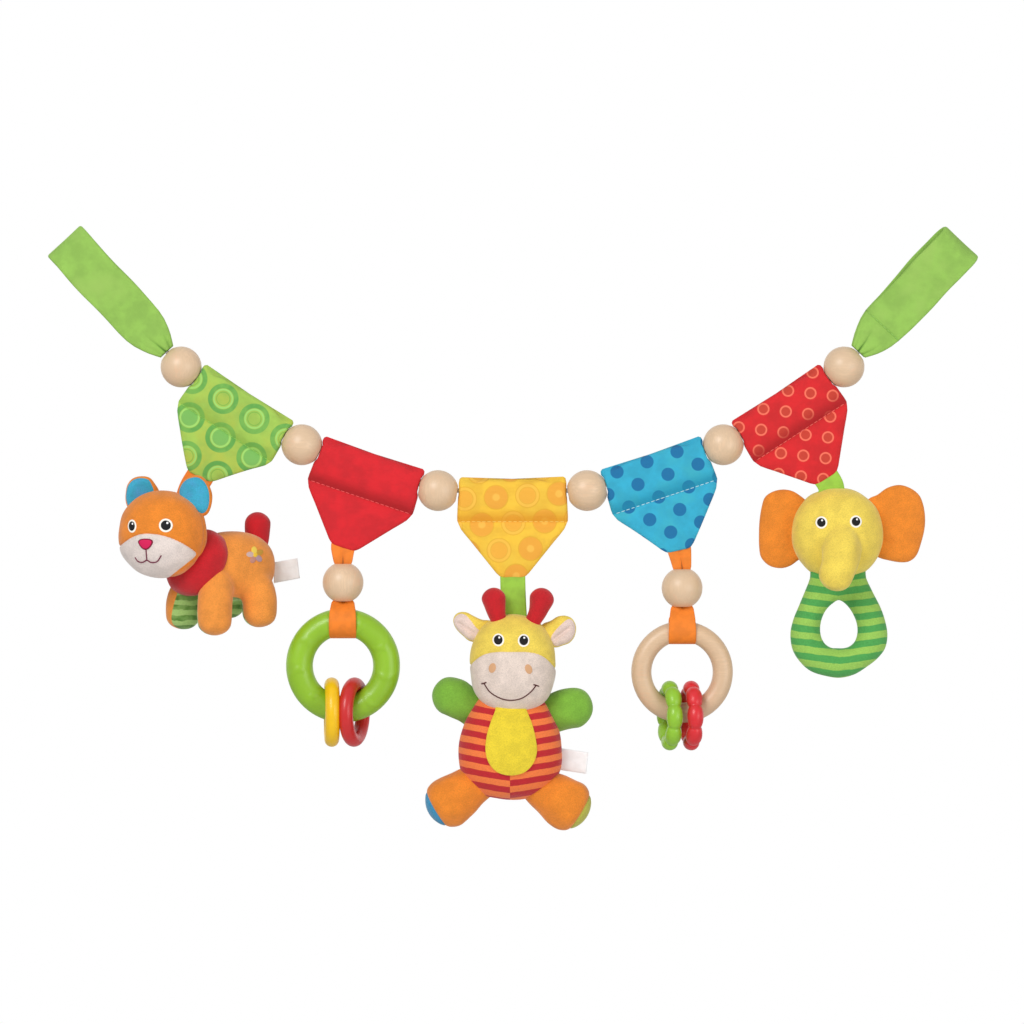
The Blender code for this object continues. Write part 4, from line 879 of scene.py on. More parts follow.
def yellowDiscs(tree, base):
    across, up = panelPlace(tree)
    spacing, rows, start, tilt = 17.3 * mm, 14.6 * mm, (0.4 * mm, -17.8 * mm), math.radians(3.2)
    distance = latticeDistance(tree, across, up, spacing, rows, start, tilt)
    beside = start[0] - spacing * math.cos(tilt), start[1] - spacing * math.sin(tilt)
    twice = latticeDistance(tree, across, up, 2 * spacing, rows, beside, tilt, 0.25, 4.0)
    everyOther = calc(tree, "LESS_THAN", distance, calc(tree, "SUBTRACT", twice, 0.1 * mm))
    disc = mixed(tree, everyOther, shade((243, 172, 58)), shade((250, 196, 72)))
    base = mixed(tree, bandMask(tree, distance, 0, 6.4 * mm, 0.3 * mm), base, disc)
    core = calc(tree, "MULTIPLY", bandMask(tree, distance, 0, 4.5 * mm, 0.3 * mm), everyOther)
    base = mixed(tree, core, base, shade((246, 180, 60)))
    centre = calc(tree, "MULTIPLY", bandMask(tree, distance, 0, 2.0 * mm, 0.5 * mm),
                  calc(tree, "SUBTRACT", 0.7, calc(tree, "MULTIPLY", everyOther, 0.7)))
    base = mixed(tree, centre, base, shade((254, 200, 84)))
    rings = calc(tree, "MAXIMUM", bandMask(tree, distance, 6.3 * mm, 6.9 * mm, 0.2 * mm),
                 calc(tree, "MULTIPLY", bandMask(tree, distance, 4.4 * mm, 4.9 * mm, 0.15 * mm), everyOther))
    return mixed(tree, calc(tree, "MULTIPLY", rings, 0.55), base, shade((228, 166, 38)))


def blueDots(tree, base):
    across, up = panelPlace(tree)
    distance = latticeDistance(tree, across, up, 17.4 * mm, 10.2 * mm, (-3.3 * mm, 4.5 * mm))
    return mixed(tree, bandMask(tree, distance, 0, 3.65 * mm, 0.2 * mm), base, shade((10, 112, 166)))


def redRings(tree, base):
    across, up = panelPlace(tree)
    distance = latticeDistance(tree, across, up, 12.35 * mm, 11.5 * mm, (-0.9 * mm, -3.2 * mm),
                               math.radians(-39.2), 0.0)
    base = mixed(tree, bandMask(tree, distance, 0, 2.5 * mm), base, shade((205, 62, 44)))
    return mixed(tree, bandMask(tree, distance, 2.45 * mm, 3.35 * mm, 0.18 * mm), base, shade((250, 118, 92)))


def withSleeveShade(paint, deep, most):
    # painted shade: where the sleeve turns in to the stitched line, the cloth is mixed by a share towards a
    # deeper colour that stands for the shade there
    def paintBoth(tree, base):
        base = paint(tree, base) if paint else base
        up = panelPlace(tree)[1]
        seam = pennant["seam"]
        near = calc(tree, "MULTIPLY", edgeOf(tree, up, seam + 9 * mm, seam),
                    edgeOf(tree, up, seam - 0.5 * mm, seam + 0.2 * mm))
        return mixed(tree, calc(tree, "MULTIPLY", near, most), base, shade(deep))
    return paintBoth


# the cloth's slot, colour, tint and print, the colour of the sleeve's painted shade and its share, and the
# thread's colour
cloths = [
    ("green_cloth", (162, 200, 84), (184, 198, 76), greenRings, (136, 184, 66), 0.35, (150, 205, 95)),
    ("red_cloth", (216, 24, 36), None, None, (168, 6, 18), 0.85, (240, 96, 96)),
    ("yellow_cloth", (250, 196, 58), (244, 202, 66), yellowDiscs, (232, 156, 22), 0.75, (250, 212, 104)),
    ("blue_cloth", (48, 174, 208), (60, 182, 200), blueDots, (10, 146, 180), 0.75, (196, 234, 240)),
    ("red_cloth", (216, 28, 34), None, redRings, (172, 12, 20), 0.85, (240, 108, 98)),
]
for number, (slot, colour, tint, paint, deep, most, threadColour) in enumerate(cloths):
    cloth = wovenCloth(f"pennantCloth{number + 1}", colour, tint, withSleeveShade(paint, deep, most), 0.06)
    thread = threadFinish(f"pennantThread{number + 1}", threadColour)
    addPennant(f"pennant_{number + 1}", beads[number], beads[number + 1], pennant["trims"][number],
               cloth, thread, number + 3)
print("pennants")


loop = {
    "neckReach": 11.6 * mm, "foldCentre": 86.6 * mm, "foldRadius": 7.1 * mm,
    "wall": 2.2 * mm, "neckWall": 3.0 * mm, "edge": 1.5 * mm,
    # how far from the bead the layers' half width and half gap hold
    "halves": ((11.6, 4.8), (14.0, 6.2), (17.5, 8.1), (21.5, 9.8), (26.0, 11.3), (31.0, 12.2), (37.0, 12.5),
               (95.0, 12.5)),
    "gaps": ((11.6, 1.55), (20.0, 1.6), (31.0, 1.3), (38.0, 1.9), (50.0, 3.6), (64.0, 5.4), (78.0, 6.8),
             (86.6, 7.1)),
    # pleats: the share of the half width at the neck and at the seam, the depth at the neck and the width
    "pleats": ((-0.5, -0.66, 0.8, 0.7), (0.1, 0.3, 1.3, 0.6), (0.62, 0.74, 0.5, 0.8)),
    "seamReach": 31 * mm, "sides": 96, "stretch": 1.12,
    # sizes and heights of the waves in its face and its sides
    "waves": (19 * mm, 0.16 * mm), "sideWaves": (24 * mm, 0.35 * mm),
    # the right loop's seam: its groove's width and depth, and its stitches
    "groove": (0.9 * mm, 0.6 * mm), "stitch": (2.2 * mm, 0.6 * mm, 0.2 * mm), "stitchHalf": 11.6 * mm,
    "stitchDepth": 2.1 * mm,
}


def loopPath(count):
    # out along the front layer, round the fold's half circle, and back along the rear layer
    knots, gaps = np.array(loop["gaps"]).T * mm
    out = np.linspace(loop["neckReach"], loop["foldCentre"], count)
    front = np.stack([out, -np.interp(out, knots, gaps)], axis=-1)
    arc = np.linspace(-math.pi / 2, math.pi / 2, 26)[1:-1]
    fold = np.stack([loop["foldCentre"] + loop["foldRadius"] * np.cos(arc), loop["foldRadius"] * np.sin(arc)],
                    axis=-1)
    return np.concatenate([front, fold, front[::-1] * (1, -1)])


def addLoop(node, centre, outward, seamed, lean, seed):
    # a flat padded band: the section is a thin rounded bar, its thickness and its pleats growing to the neck
    path = loopPath(90)
    direction = np.gradient(path, axis=0)
    direction /= np.linalg.norm(direction, axis=1)[:, None]
    outside = np.stack([direction[:, 1], -direction[:, 0]], axis=-1)[:, None]
    reach, depth = path[:, :1], path[:, 1:]
    half = np.interp(reach, *np.array(loop["halves"]).T * mm)
    near = np.clip((loop["seamReach"] - reach) / (loop["seamReach"] - loop["neckReach"]), 0, 1)
    wall = loop["wall"] + (loop["neckWall"] - loop["wall"]) * near
    across, rim, face = flatSection(loop["sides"], loop["stretch"])
    inner = np.clip((1 - np.abs(across)) * half / loop["edge"], 0, 1)
    thick = wall / 2 * (0.15 * rim + 0.85 * np.sqrt(1 - (1 - inner)**2)) * face
    folded = 0 * thick
    for atNeck, atSeam, deep, wide in loop["pleats"]:
        share = atSeam + (atNeck - atSeam) * near
        groove = deep * mm * near**1.1 * np.exp(-((across - share) * half / (wide * mm))**2)
        thick = thick - np.where(face > 0, groove, -groove * 0.3)
        folded = np.maximum(folded, groove / (1.3 * mm))
    if seamed:
        wide, deep = loop["groove"]
        line = np.exp(-((reach - loop["seamReach"]) / wide)**2)
        thick = thick - np.where(face > 0, deep, 0) * line
        # the seam's groove is marked too, for painted shade there as in the pleats
        folded = np.maximum(folded, 0.45 * line)
    places = np.stack([reach + 0 * across, across * half, depth + 0 * across], axis=-1)
    (waveSize, waveHeight), (sideSize, sideHeight) = loop["waves"], loop["sideWaves"]
    thick = thick + face * softNoise(places, waveSize, seed) * waveHeight * inner
    sideWave = softNoise(np.stack([reach, depth, 0 * reach], axis=-1), sideSize, seed + 3) * sideHeight
    x = across * half + lean * depth / loop["foldRadius"] + sideWave * np.clip(reach / (40 * mm), 0, 1)
    flat = path[:, None] + outside * thick[..., None]
    upward = np.array([-outward[2], 0, outward[0]])
    rows = (centre + flat[..., :1] * outward + x[..., None] * upward
            + flat[..., 1:] * np.array([0, 1, 0]))
    marks = np.repeat(folded[..., None], 3, axis=-1)
    piece = closedPiece(node + "_band", rows, loopCloth, {"inFold": marks})
    dress(piece, "loops", [node])
    if seamed:
        run = np.linspace(-loop["stitchHalf"], loop["stitchHalf"], 40)[:, None]
        for facing, name in ((-1, "front"), (1, "back")):
            line = (centre + loop["seamReach"] * outward + run * upward
                    + np.array([0, facing * loop["stitchDepth"], 0]))
            dress(stitchRun(f"{node}_{name}_stitches", line, (0, facing, 0), *loop["stitch"], loopThread),
                  "loops")


def foldShade(tree, base):
    # the cloth lies in its own shade at the bottom of a pleat
    fold = partsOf(tree, markOf(tree, "inFold"))[0]
    return mixed(tree, edgeOf(tree, fold, 0.15, 0.95), base, shade((82, 130, 44)))


loopCloth = wovenCloth("loopCloth", (147, 193, 84), (157, 198, 92), foldShade, 0.06)
loopThread = threadFinish("loopThread", (160, 208, 108))
rightward = way(strand["loopSlope"])
addLoop("loop_left", beads[0], rightward * (-1, 1, 1), False, 0.2 * mm, 21)
addLoop("loop_right", beads[-1], rightward, True, 1.1 * mm, 22)
print("loops")


def loftRows(knots, halves, caps, lumps=None, across=(0, 1, 0), rings=60, sides=64):
    # an oval section carried along a smooth path: half sizes across and square to it, rounded off at each end
    # by a cap, which is a share of the section's half size long
    path = evenly(smoothPath(knots, 240), 240)
    shares = (1 - np.cos(np.linspace(0, math.pi, rings + 2)[1:-1])) / 2
    path = np.stack([np.interp(shares, np.linspace(0, 1, 240), path[:, axis]) for axis in range(3)], axis=-1)
    halves = np.asarray(halves, float)
    knotShares = np.linspace(0, 1, len(halves))
    sizes = smoothPath(np.concatenate([halves, knotShares[:, None]], axis=1), 200)
    sizes = np.stack([np.interp(shares, sizes[:, 2], sizes[:, axis]) for axis in range(2)], axis=-1)
    length = np.linalg.norm(np.diff(path, axis=0), axis=1).sum()
    for share, size, cap in ((shares, sizes[0], caps[0]), (1 - shares, sizes[-1], caps[1])):
        inFrom = np.clip(share * length / (size.mean() * cap), 0, 1)
        sizes = sizes * np.sqrt(1 - (1 - inFrom)**2)[:, None].clip(0.04)
    _, side, up = framesAlong(path, np.array(across, float))
    around = np.linspace(0, tau, sides, endpoint=False)[None, :, None]
    out = (sizes[:, None, :1] * np.cos(around) * side[:, None]
           + sizes[:, None, 1:] * np.sin(around) * up[:, None])
    if lumps:
        size, height, seed = lumps
        out = out * (1 + height / sizes.mean() * softNoise(path[:, None] + out, size, seed)[..., None])
    return path, path[:, None] + out


def loftAlong(name, knots, halves, material, caps, **settings):
    return closedPiece(name, loftRows(knots, halves, caps, **settings)[1], material)


# Ribbons: flat bands sewn in above the tips of the pennants. Two of them are gathered into a bead.

ribbon = {
    "thick": 1.2 * mm, "edge": 0.6 * mm, "sewnIn": 4 * mm,
    # half widths in the bead and round the ring, and the gap to the ring
    "stem": 3.3 * mm, "wide": 7.5 * mm, "room": 0.35 * mm,
}


def addStrap(name, knots, halves, material, sideways=(1, 0, 0), crease=0.0, rings=90):
    # a thin rounded section carried along the path, with a crease down its middle that fades with its depth
    path = evenly(smoothPath(knots, 300), rings)
    halves = np.asarray(halves, float)
    half = np.interp(np.linspace(0, 1, rings), np.linspace(0, 1, len(halves)), halves)[:, None]
    _, side, up = framesAlong(path, np.array(sideways, float))
    across, rim, face = flatSection(56, 1.12)
    inner = np.clip((1 - np.abs(across)) * half / ribbon["edge"], 0, 1)
    thick = ribbon["thick"] / 2 * (0.3 * rim + 0.7 * np.sqrt(1 - (1 - inner)**2)) * face
    deep, x = np.broadcast_to(crease, rings)[:, None], across * half
    beside = np.exp(-((np.abs(across) - 0.45) * half / (1.6 * mm))**2)
    fold = deep * (0.5 * beside - np.exp(-(x / (0.55 * mm))**2))
    rows = path[:, None] + x[..., None] * side[:, None] + (thick + fold)[..., None] * up[:, None]
    reached = np.linspace(0, np.linalg.norm(np.diff(path, axis=0), axis=1).sum(), rings)
    # how deep in the crease each point lies, which sets the painted shade there
    inCrease = (deep / (0.9 * mm))**2 * np.exp(-(x / (0.45 * mm))**2)
    marks = np.stack([reached[:, None] + 0 * x, x, inCrease * mm], axis=-1)
    return closedPiece(name, rows, material, {"alongRibbon": marks})


def pennantTip(left, right):
    # the middle of the pennant's lower edge, the direction along its cord and the one down from it
    along = (right - left) / np.linalg.norm(right - left)
    down = np.array([along[2], 0, -along[0]])
    return (left + right) / 2 - down * pennant["drop"], along, down


orangeRibbon = ribbedRibbon("orangeRibbon", (236, 126, 26))
greenRibbon = ribbedRibbon("greenRibbon", (150, 198, 62))
# each ribbon's animal, pennant, lower end from the pennant's tip, direction across, half width and finish
plainRibbons = [
    ("cub", 0, (-6, 6.8, -26), (0.92, 0, -0.38), 7.6 * mm, orangeRibbon, "orange_ribbon"),
    ("giraffe", 2, (1.0, 0, -23.2), (1, 0, 0), 6.9 * mm, greenRibbon, "green_ribbon"),
    ("elephant", 4, (-0.1, 0, -14.0), (0.96, 0, 0.27), 7.1 * mm, greenRibbon, "green_ribbon"),
]
for body, number, bottom, across, half, material, slot in plainRibbons:
    # sewn in a little above the pennant's tip, and straight down to the animal from there
    tip, along, down = pennantTip(beads[number], beads[number + 1])
    beside, above, askew, _ = pennant["trims"][number]
    top = tip - down * (ribbon["sewnIn"] - above * mm) + along * beside * mm
    end = tip + np.array(bottom) * mm
    bend = tip * 0.7 + end * 0.3 + down * 2 * mm + (0, -0.3 * mm, 0)
    piece = addStrap(body + "_ribbon_cloth", [top, bend, end], [half, half, half], material, across)
    dress(piece, body, [body + "_ribbon"])
print("ribbons")


def addRingRibbon(side, number, beadDrop, standoff, tube):
    # down from the pennant's tip, gathered through the bead, then round the ring from its front to its back
    tip, along, down = pennantTip(beads[number], beads[number + 1])
    bead = tip + np.array([0, 0, -beadDrop])
    radius, reach = strand["beadRadius"], tube + ribbon["room"] + ribbon["thick"] / 2
    middle = bead + np.array([0, 0, -radius - standoff - tube])
    node, body = f"{side}_ring_ribbon", f"{side}_ribbon"
    arc = np.linspace(math.pi * 0.94, math.pi * 2.06, 15)
    wrap = [middle + np.array([0, reach * math.cos(turn), reach * math.sin(turn)]) for turn in arc]
    mouth = bead + np.array([0, 0, -radius])
    beside = along * pennant["trims"][number][0] * mm
    inBead = [bead + mm3(0, -1, 8.2), bead + mm3(0, -1, 0), bead + mm3(0, -1, -8.6)]
    front = [tip - down * ribbon["sewnIn"] + beside, tip + beside * 0.8, bead + mm3(0, -0.7, 11.2), *inBead,
             mouth + mm3(0, -1, 0.9)]
    lower = mouth * 0.5 + wrap[0] * 0.5 + np.array([0, -0.25 * reach, 0])
    knots = [*front, lower, *wrap, lower * (1, -1, 1), mouth + mm3(0, 1, 1.8), bead + mm3(0, 1, 0)]
    s, w = ribbon["stem"], ribbon["wide"]
    halves = [6.9 * mm, 6.7 * mm, 5.1 * mm, s * 1.1, s, s * 1.05, 6.2 * mm,
              w * 0.95, *[w] * len(wrap), w * 0.95, s * 1.05, s]
    steps = [0, *np.cumsum(np.linalg.norm(np.diff(knots, axis=0), axis=1))]
    half = np.interp(np.linspace(0, steps[-1], 60), steps, halves)
    deep = np.interp(np.linspace(0, steps[-1], 160), [0, steps[1], steps[2], steps[6], steps[6] + 3 * mm],
                     [0, 0.3 * mm, 0.9 * mm, 0.8 * mm, 0])
    piece = addStrap(node + "_cloth", knots, half, orangeRibbon, crease=deep, rings=160)
    dress(piece, body, [node])
    addBead(f"{side}_ribbon_bead", bead, np.array([0, 0, 1.0]), 4 * mm, beech["Z"])
    return middle


def addRing(name, centre, axis, ringRadius, tube, material, shape):
    # a circle of tube sections: shape gives the share of the ring's radius and of the tube's at each angle
    turn = np.linspace(0, tau, 160, endpoint=False)[:, None]
    section = np.linspace(0, tau, 40, endpoint=False)[None, :]
    ringShare, tubeShare = shape(turn, section) if shape else (1.0, 1.0)
    out = ringRadius * ringShare + tube * tubeShare * np.cos(section)
    rows = np.stack([out * np.cos(turn), out * np.sin(turn),
                     tube * tubeShare * np.sin(section) * np.ones_like(turn)], axis=-1)
    piece = ringPiece(name + "_moulded", rows @ turnFrom(axis, (0, 0, 1)).T + centre, material)
    return dress(piece, name, [name])


def embossedWaves(turn, section):
    # shallow raised commas on the ring's face, one every ninth of a turn and leaning round the tube
    phase = np.sin(4.5 * turn + 1.6 * np.sin(section) + 0.4)**2
    ridge = np.exp(-((phase - 0.97) / 0.045)**2) * np.clip(np.abs(np.sin(section)), 0, 1)**2
    return 1.0, 1 + 0.055 * ridge


def flowerLobes(turn, _):
    # eight rounded lobes: the tube swells at each lobe and is pinched between them
    lobe = np.abs(np.cos(4 * turn))**0.6
    return 1 + 0.045 * (lobe - 0.5), 0.76 + 0.30 * lobe


leftMiddle = addRingRibbon("left", 1, 19.2 * mm, 3.0 * mm, 7.45 * mm)
rightMiddle = addRingRibbon("right", 3, 22.2 * mm, 6.9 * mm, 5.6 * mm)
greenPlastic = mouldedPlastic("greenPlastic", (142, 188, 38), 0.36)
ringWood = turnedWood("beechRing", (218, 185, 150), "X")
bigRings = [
    ("teething_ring", leftMiddle, 23.95 * mm, 7.4 * mm, greenPlastic, "green_plastic", embossedWaves),
    ("wooden_ring", rightMiddle, 22.4 * mm, 5.55 * mm, ringWood, "beech", None),
]
for name, middle, ringRadius, tube, material, slot, shape in bigRings:
    addRing(name, middle + np.array([0, 0, -ringRadius]), (0, 1, 0), ringRadius, tube, material, shape)
# how far a small ring's middle lies below the big ring's lowest point, its radius, its tube's and its shape
plain, flowery = (25.6, 15.1, 4.0, None), (24.0, 14.4, 4.2, flowerLobes)
# the middle and radius of each one's big ring, how far beside that middle it hangs, its turn in degrees
smallRings = [
    ("ring_yellow", leftMiddle, 23.95, -6.2, -4, (242, 193, 6), "yellow_plastic", plain),
    ("ring_red", leftMiddle, 23.95, 6.2, 16, (200, 36, 38), "red_plastic", plain),
    ("flower_ring_green", rightMiddle, 22.4, -6.8, -9, (142, 193, 48), "green_plastic", flowery),
    ("flower_ring_red", rightMiddle, 22.4, 5.0, -7, (216, 38, 46), "red_plastic", flowery),
]
for name, middle, bigRadius, beside, degrees, colour, slot, kind in smallRings:
    below, ringRadius, tube, shape = kind
    centre = middle + np.array([beside, 0, -bigRadius - below]) * mm
    axis = (math.cos(math.radians(degrees)), -math.sin(math.radians(degrees)), 0)
    plastic = mouldedPlastic(name + "Plastic", colour, 0.33)
    addRing(name, centre, axis, ringRadius * mm, tube * mm, plastic, shape)
print("rings")


# The giraffe

giraffe = {
    "body": mm3(-1.2, 3.0, -274.5), "bodyHalf": mm3(28.0, 22.3, 31.2),
    "head": mm3(0.1, -1.6, -231.2), "headHalf": mm3(23.6, 21.4, 27.4),
    "brow": -224.2, "browDrop": 7.2, "browReach": 22.8,
    "horns": {"left": [(-6.6, -210.0), (-9.0, -202.0), (-11.4, -189.1)],
              "right": [(10.0, -209.4), (14.0, -201.6), (17.8, -189.4)]},
    "hornHalves": [(4.2, 4.2), (4.5, 4.6), (5.5, 5.7), (6.6, 6.7), (6.5, 6.6)],
    "leftEar": {
        "outline": [(-32.6, -207.7), (-31.7, -204.4), (-29.0, -202.6), (-25.2, -202.7), (-21.5, -204.6),
                    (-16.8, -206.7), (-12.0, -207.5), (-9.2, -212.4), (-15.8, -219.0), (-23.2, -218.6),
                    (-27.1, -215.7), (-30.9, -211.9)],
        "lining": [(-32.5, -208.0), (-31.6, -205.0), (-28.9, -203.3), (-26.0, -203.9), (-23.2, -206.7),
                   (-20.1, -210.8), (-17.9, -213.3), (-19.6, -217.6), (-23.2, -218.2), (-27.0, -215.5),
                   (-30.7, -211.8)],
        "depth": -1.0, "thick": 3.6, "hollow": 0.5,
        "creases": [((-29.5, -208.8), (-21.0, -214.5), 1.3, 1.1)]},
    "rightEar": {
        "outline": [(16.3, -209.4), (21.0, -207.3), (24.8, -205.0), (29.0, -204.5), (32.8, -206.2),
                    (34.9, -210.5), (34.2, -215.7), (31.4, -219.4), (27.6, -220.9), (23.8, -222.0),
                    (18.2, -220.9), (13.4, -215.2)],
        "lining": [(21.2, -216.0), (23.6, -212.4), (27.0, -208.9), (30.4, -206.3), (33.1, -207.0),
                   (34.7, -210.8), (34.0, -215.5), (31.2, -219.1), (27.5, -220.6), (23.8, -221.6),
                   (21.6, -219.6)],
        "depth": -1.0, "thick": 3.6, "hollow": 0.5,
        "creases": [((31.0, -211.5), (23.0, -217.2), 1.3, 1.1)]},
    "belly": [(-1.0, -292.3), (6.1, -290.8), (11.0, -286.2), (13.2, -279.5), (12.4, -271.5), (10.3, -263.5),
              (7.7, -257.0), (5.8, -250.5), (-1.0, -248.5), (-8.0, -250.5), (-9.5, -257.0), (-12.0, -263.5),
              (-14.2, -271.5), (-14.7, -279.4), (-12.6, -286.2), (-7.8, -290.8)],
    "stripePeriod": 6.9 * mm, "stripePlace": (-1.4 * mm, -263.4 * mm),
    "label": [(25.0, 3, -277.4), (41.7, 2.2, -279.9), (40.6, 2.6, -291.6), (24.4, 3, -289.3)],
}
giraffeHead = {"centre": giraffe["head"], "half": giraffe["headHalf"], "power": 2.25,
               "bulges": [((0.0, -0.75, -0.55), 0.30, 0.07)], "lumps": (14 * mm, 0.3 * mm, 4)}


def belowBrow(seen, _):
    # the brow's seam is nearly straight and falls off at the sides with the fourth power of the distance
    across = (seen[..., 0] / mm + 0.5) / giraffe["browReach"]
    return (giraffe["brow"] - giraffe["browDrop"] * across**4) * mm - seen[..., 1]


upper, lower = splitSkin("giraffe_face", giraffeHead, belowBrow, plushOf["yellow"], plushOf["cream"])
addPlush("giraffe_head", "giraffe", upper)
addPlush("giraffe_muzzle", "giraffe", lower)
for side in ("left", "right"):
    # a short club: slim at its foot and widest just under its round top
    knots = np.array([(x, -6.0 - 1.2 * step, z) for step, (x, z) in enumerate(giraffe["horns"][side])]) * mm
    horn = loftAlong(f"giraffe_{side}_horn_cloth", knots, np.array(giraffe["hornHalves"]) * mm, plushOf["red"],
                     (0.3, 1.0), lumps=(9 * mm, 0.15 * mm, 8 + len(side)))
    addPlush(f"giraffe_{side}_horn", "giraffe", horn)
    addFlap(f"giraffe_{side}_ear", "giraffe", giraffe[side + "Ear"], plushOf["yellow"],
            plushOf["pinkCream"])
striped = plush("stripedCloth", (232, 112, 60), sheen=0.2,
                paint=stripes(giraffe["stripePeriod"], (200, 34, 44), (255, 130, 66), 0.15, 1.0 * mm,
                              giraffe["stripePlace"], 3.2 * mm))
giraffeBody = {"centre": giraffe["body"], "half": giraffe["bodyHalf"], "power": 2.3, "taper": -0.14,
               "lumps": (15 * mm, 0.35 * mm, 12)}
torso = addForm("giraffe_body_cloth", giraffeBody, striped, 70, 110)
addPlush("giraffe_body", "giraffe", torso)
belly = padOn("giraffe_belly_cloth", giraffeBody, closedCurve(np.array(giraffe["belly"]) * mm, 90), 1.7,
              plushOf["belly"], 1.2, 22)
addPlush("giraffe_belly", "giraffe", belly)

# arms like mittens, and legs that widen to round feet with a domed sole: each one's name, path, half sizes
# along it, the roundness of its ends, plush and seed
limbs = [
    ("left_arm", [(-12, 8, -260.8), (-21.5, 7.5, -256.0), (-33, 5, -249.4), (-43.8, 3.5, -245.8)],
     [(9.0, 9.0), (9.8, 10.2), (10.2, 10.7), (9.9, 10.2)], (0.5, 1.0), "green", 5),
    ("right_arm", [(10, 8, -262.5), (21, 7.5, -258.8), (33, 5, -255.5), (44.2, 3.5, -254.6)],
     [(9.0, 9.0), (9.8, 10.6), (10.2, 11.2), (9.9, 10.7)], (0.5, 1.0), "green", 6),
    ("left_leg", [(-13, 5, -293), (-21.5, 2.5, -298), (-33.5, -0.5, -305.8), (-46.0, -2.0, -313.2)],
     [(9.0, 9.0), (11.4, 11.6), (13.2, 14.2), (13.2, 14.0)], (0.5, 0.95), "orange", 7),
    ("right_leg", [(8.5, 5, -293), (16.5, 2.5, -299.5), (28.0, -0.5, -307.0), (41.0, -2.0, -314.8)],
     [(9.0, 9.0), (11.4, 11.6), (13.2, 14.4), (13.2, 14.2)], (0.5, 0.95), "orange", 8),
]
soles = {"left_leg": ((58, 148, 192), "blue_plush"), "right_leg": ((198, 196, 78), "yellow_plush")}
# where the sole's seam lies before the foot's end, how far it leans back, how far back the sole's own skin
# reaches, and how far before its end the foot is sunk towards
footEnd = {"seam": 4.6 * mm, "lean": (0, 0.16, 0), "reach": 12 * mm, "sinkFrom": 4 * mm}
for name, path, halves, caps, colour, seed in limbs:
    path, rows = loftRows(np.array(path) * mm, np.array(halves) * mm, caps, (13 * mm, 0.35 * mm, seed),
                          rings=84, sides=80)
    depth, middles = np.full(rows.shape[:2], -30 * mm), path[:, None] - 0.01 * mm
    if name in soles:
        # both skins meet at the seam: the sole's lies inside the leg's behind it, and the leg's inside the
        # sole's before it
        outward = (path[-1] - path[-12]) / np.linalg.norm(path[-1] - path[-12])
        depth = (rows - path[-1] + outward * footEnd["seam"]) @ (outward + footEnd["lean"])
        near = np.linalg.norm(path - path[-1], axis=1) < footEnd["reach"]
        middles = middles - near[:, None, None] * outward * footEnd["sinkFrom"]
        sole = sunkSkin(f"giraffe_{name}_sole_cloth", rows[near],
                        path[near][:, None] - outward * footEnd["sinkFrom"], depth[near], -1,
                        plush(name + "Sole", soles[name][0]))
        addPlush(f"giraffe_{name.split('_')[0]}_sole", f"giraffe_{name}", sole)
    piece = sunkSkin(f"giraffe_{name}_cloth", rows, middles, depth, 1, plushOf[colour])
    addPlush(f"giraffe_{name}", f"giraffe_{name}", piece)
addLabel("giraffe_label", "giraffe", giraffe["label"], 0.7)
eyeAt("giraffe_left_eye", "giraffe", giraffeHead, (-7.8, -217.9), (2.4, 2.65), (0.25, 0.45), 1.35)
eyeAt("giraffe_right_eye", "giraffe", giraffeHead, (6.1, -218.2), (2.4, 2.65), (0.1, 0.5), 1.35)
for side, place, tilt in (("left", (-11.1, -233.3), -0.25), ("right", (8.8, -233.9), 0.35)):
    nostril = oval(place, (1.9, 2.75), tilt)
    patch(f"giraffe_{side}_nostril", "giraffe", giraffeHead, nostril, 0.35, (216, 166, 124))
for part, line, radius, count in (
        ("smile", [(-15.6, -241.9), (-12.2, -246.6), (-6.4, -250.0), (-0.7, -251.0), (5.0, -249.9),
                   (9.8, -246.6), (12.9, -242.9)], 0.34, 60),
        ("left_tick", [(-17.2, -242.0), (-15.8, -241.7), (-14.3, -241.2)], 0.36, 14),
        ("right_tick", [(11.4, -242.4), (12.9, -242.8), (14.6, -243.4)], 0.36, 14)):
    strokeOn("giraffe_" + part, "giraffe", giraffeHead, line, radius, (84, 40, 40), count)
print("giraffe")


# The elephant

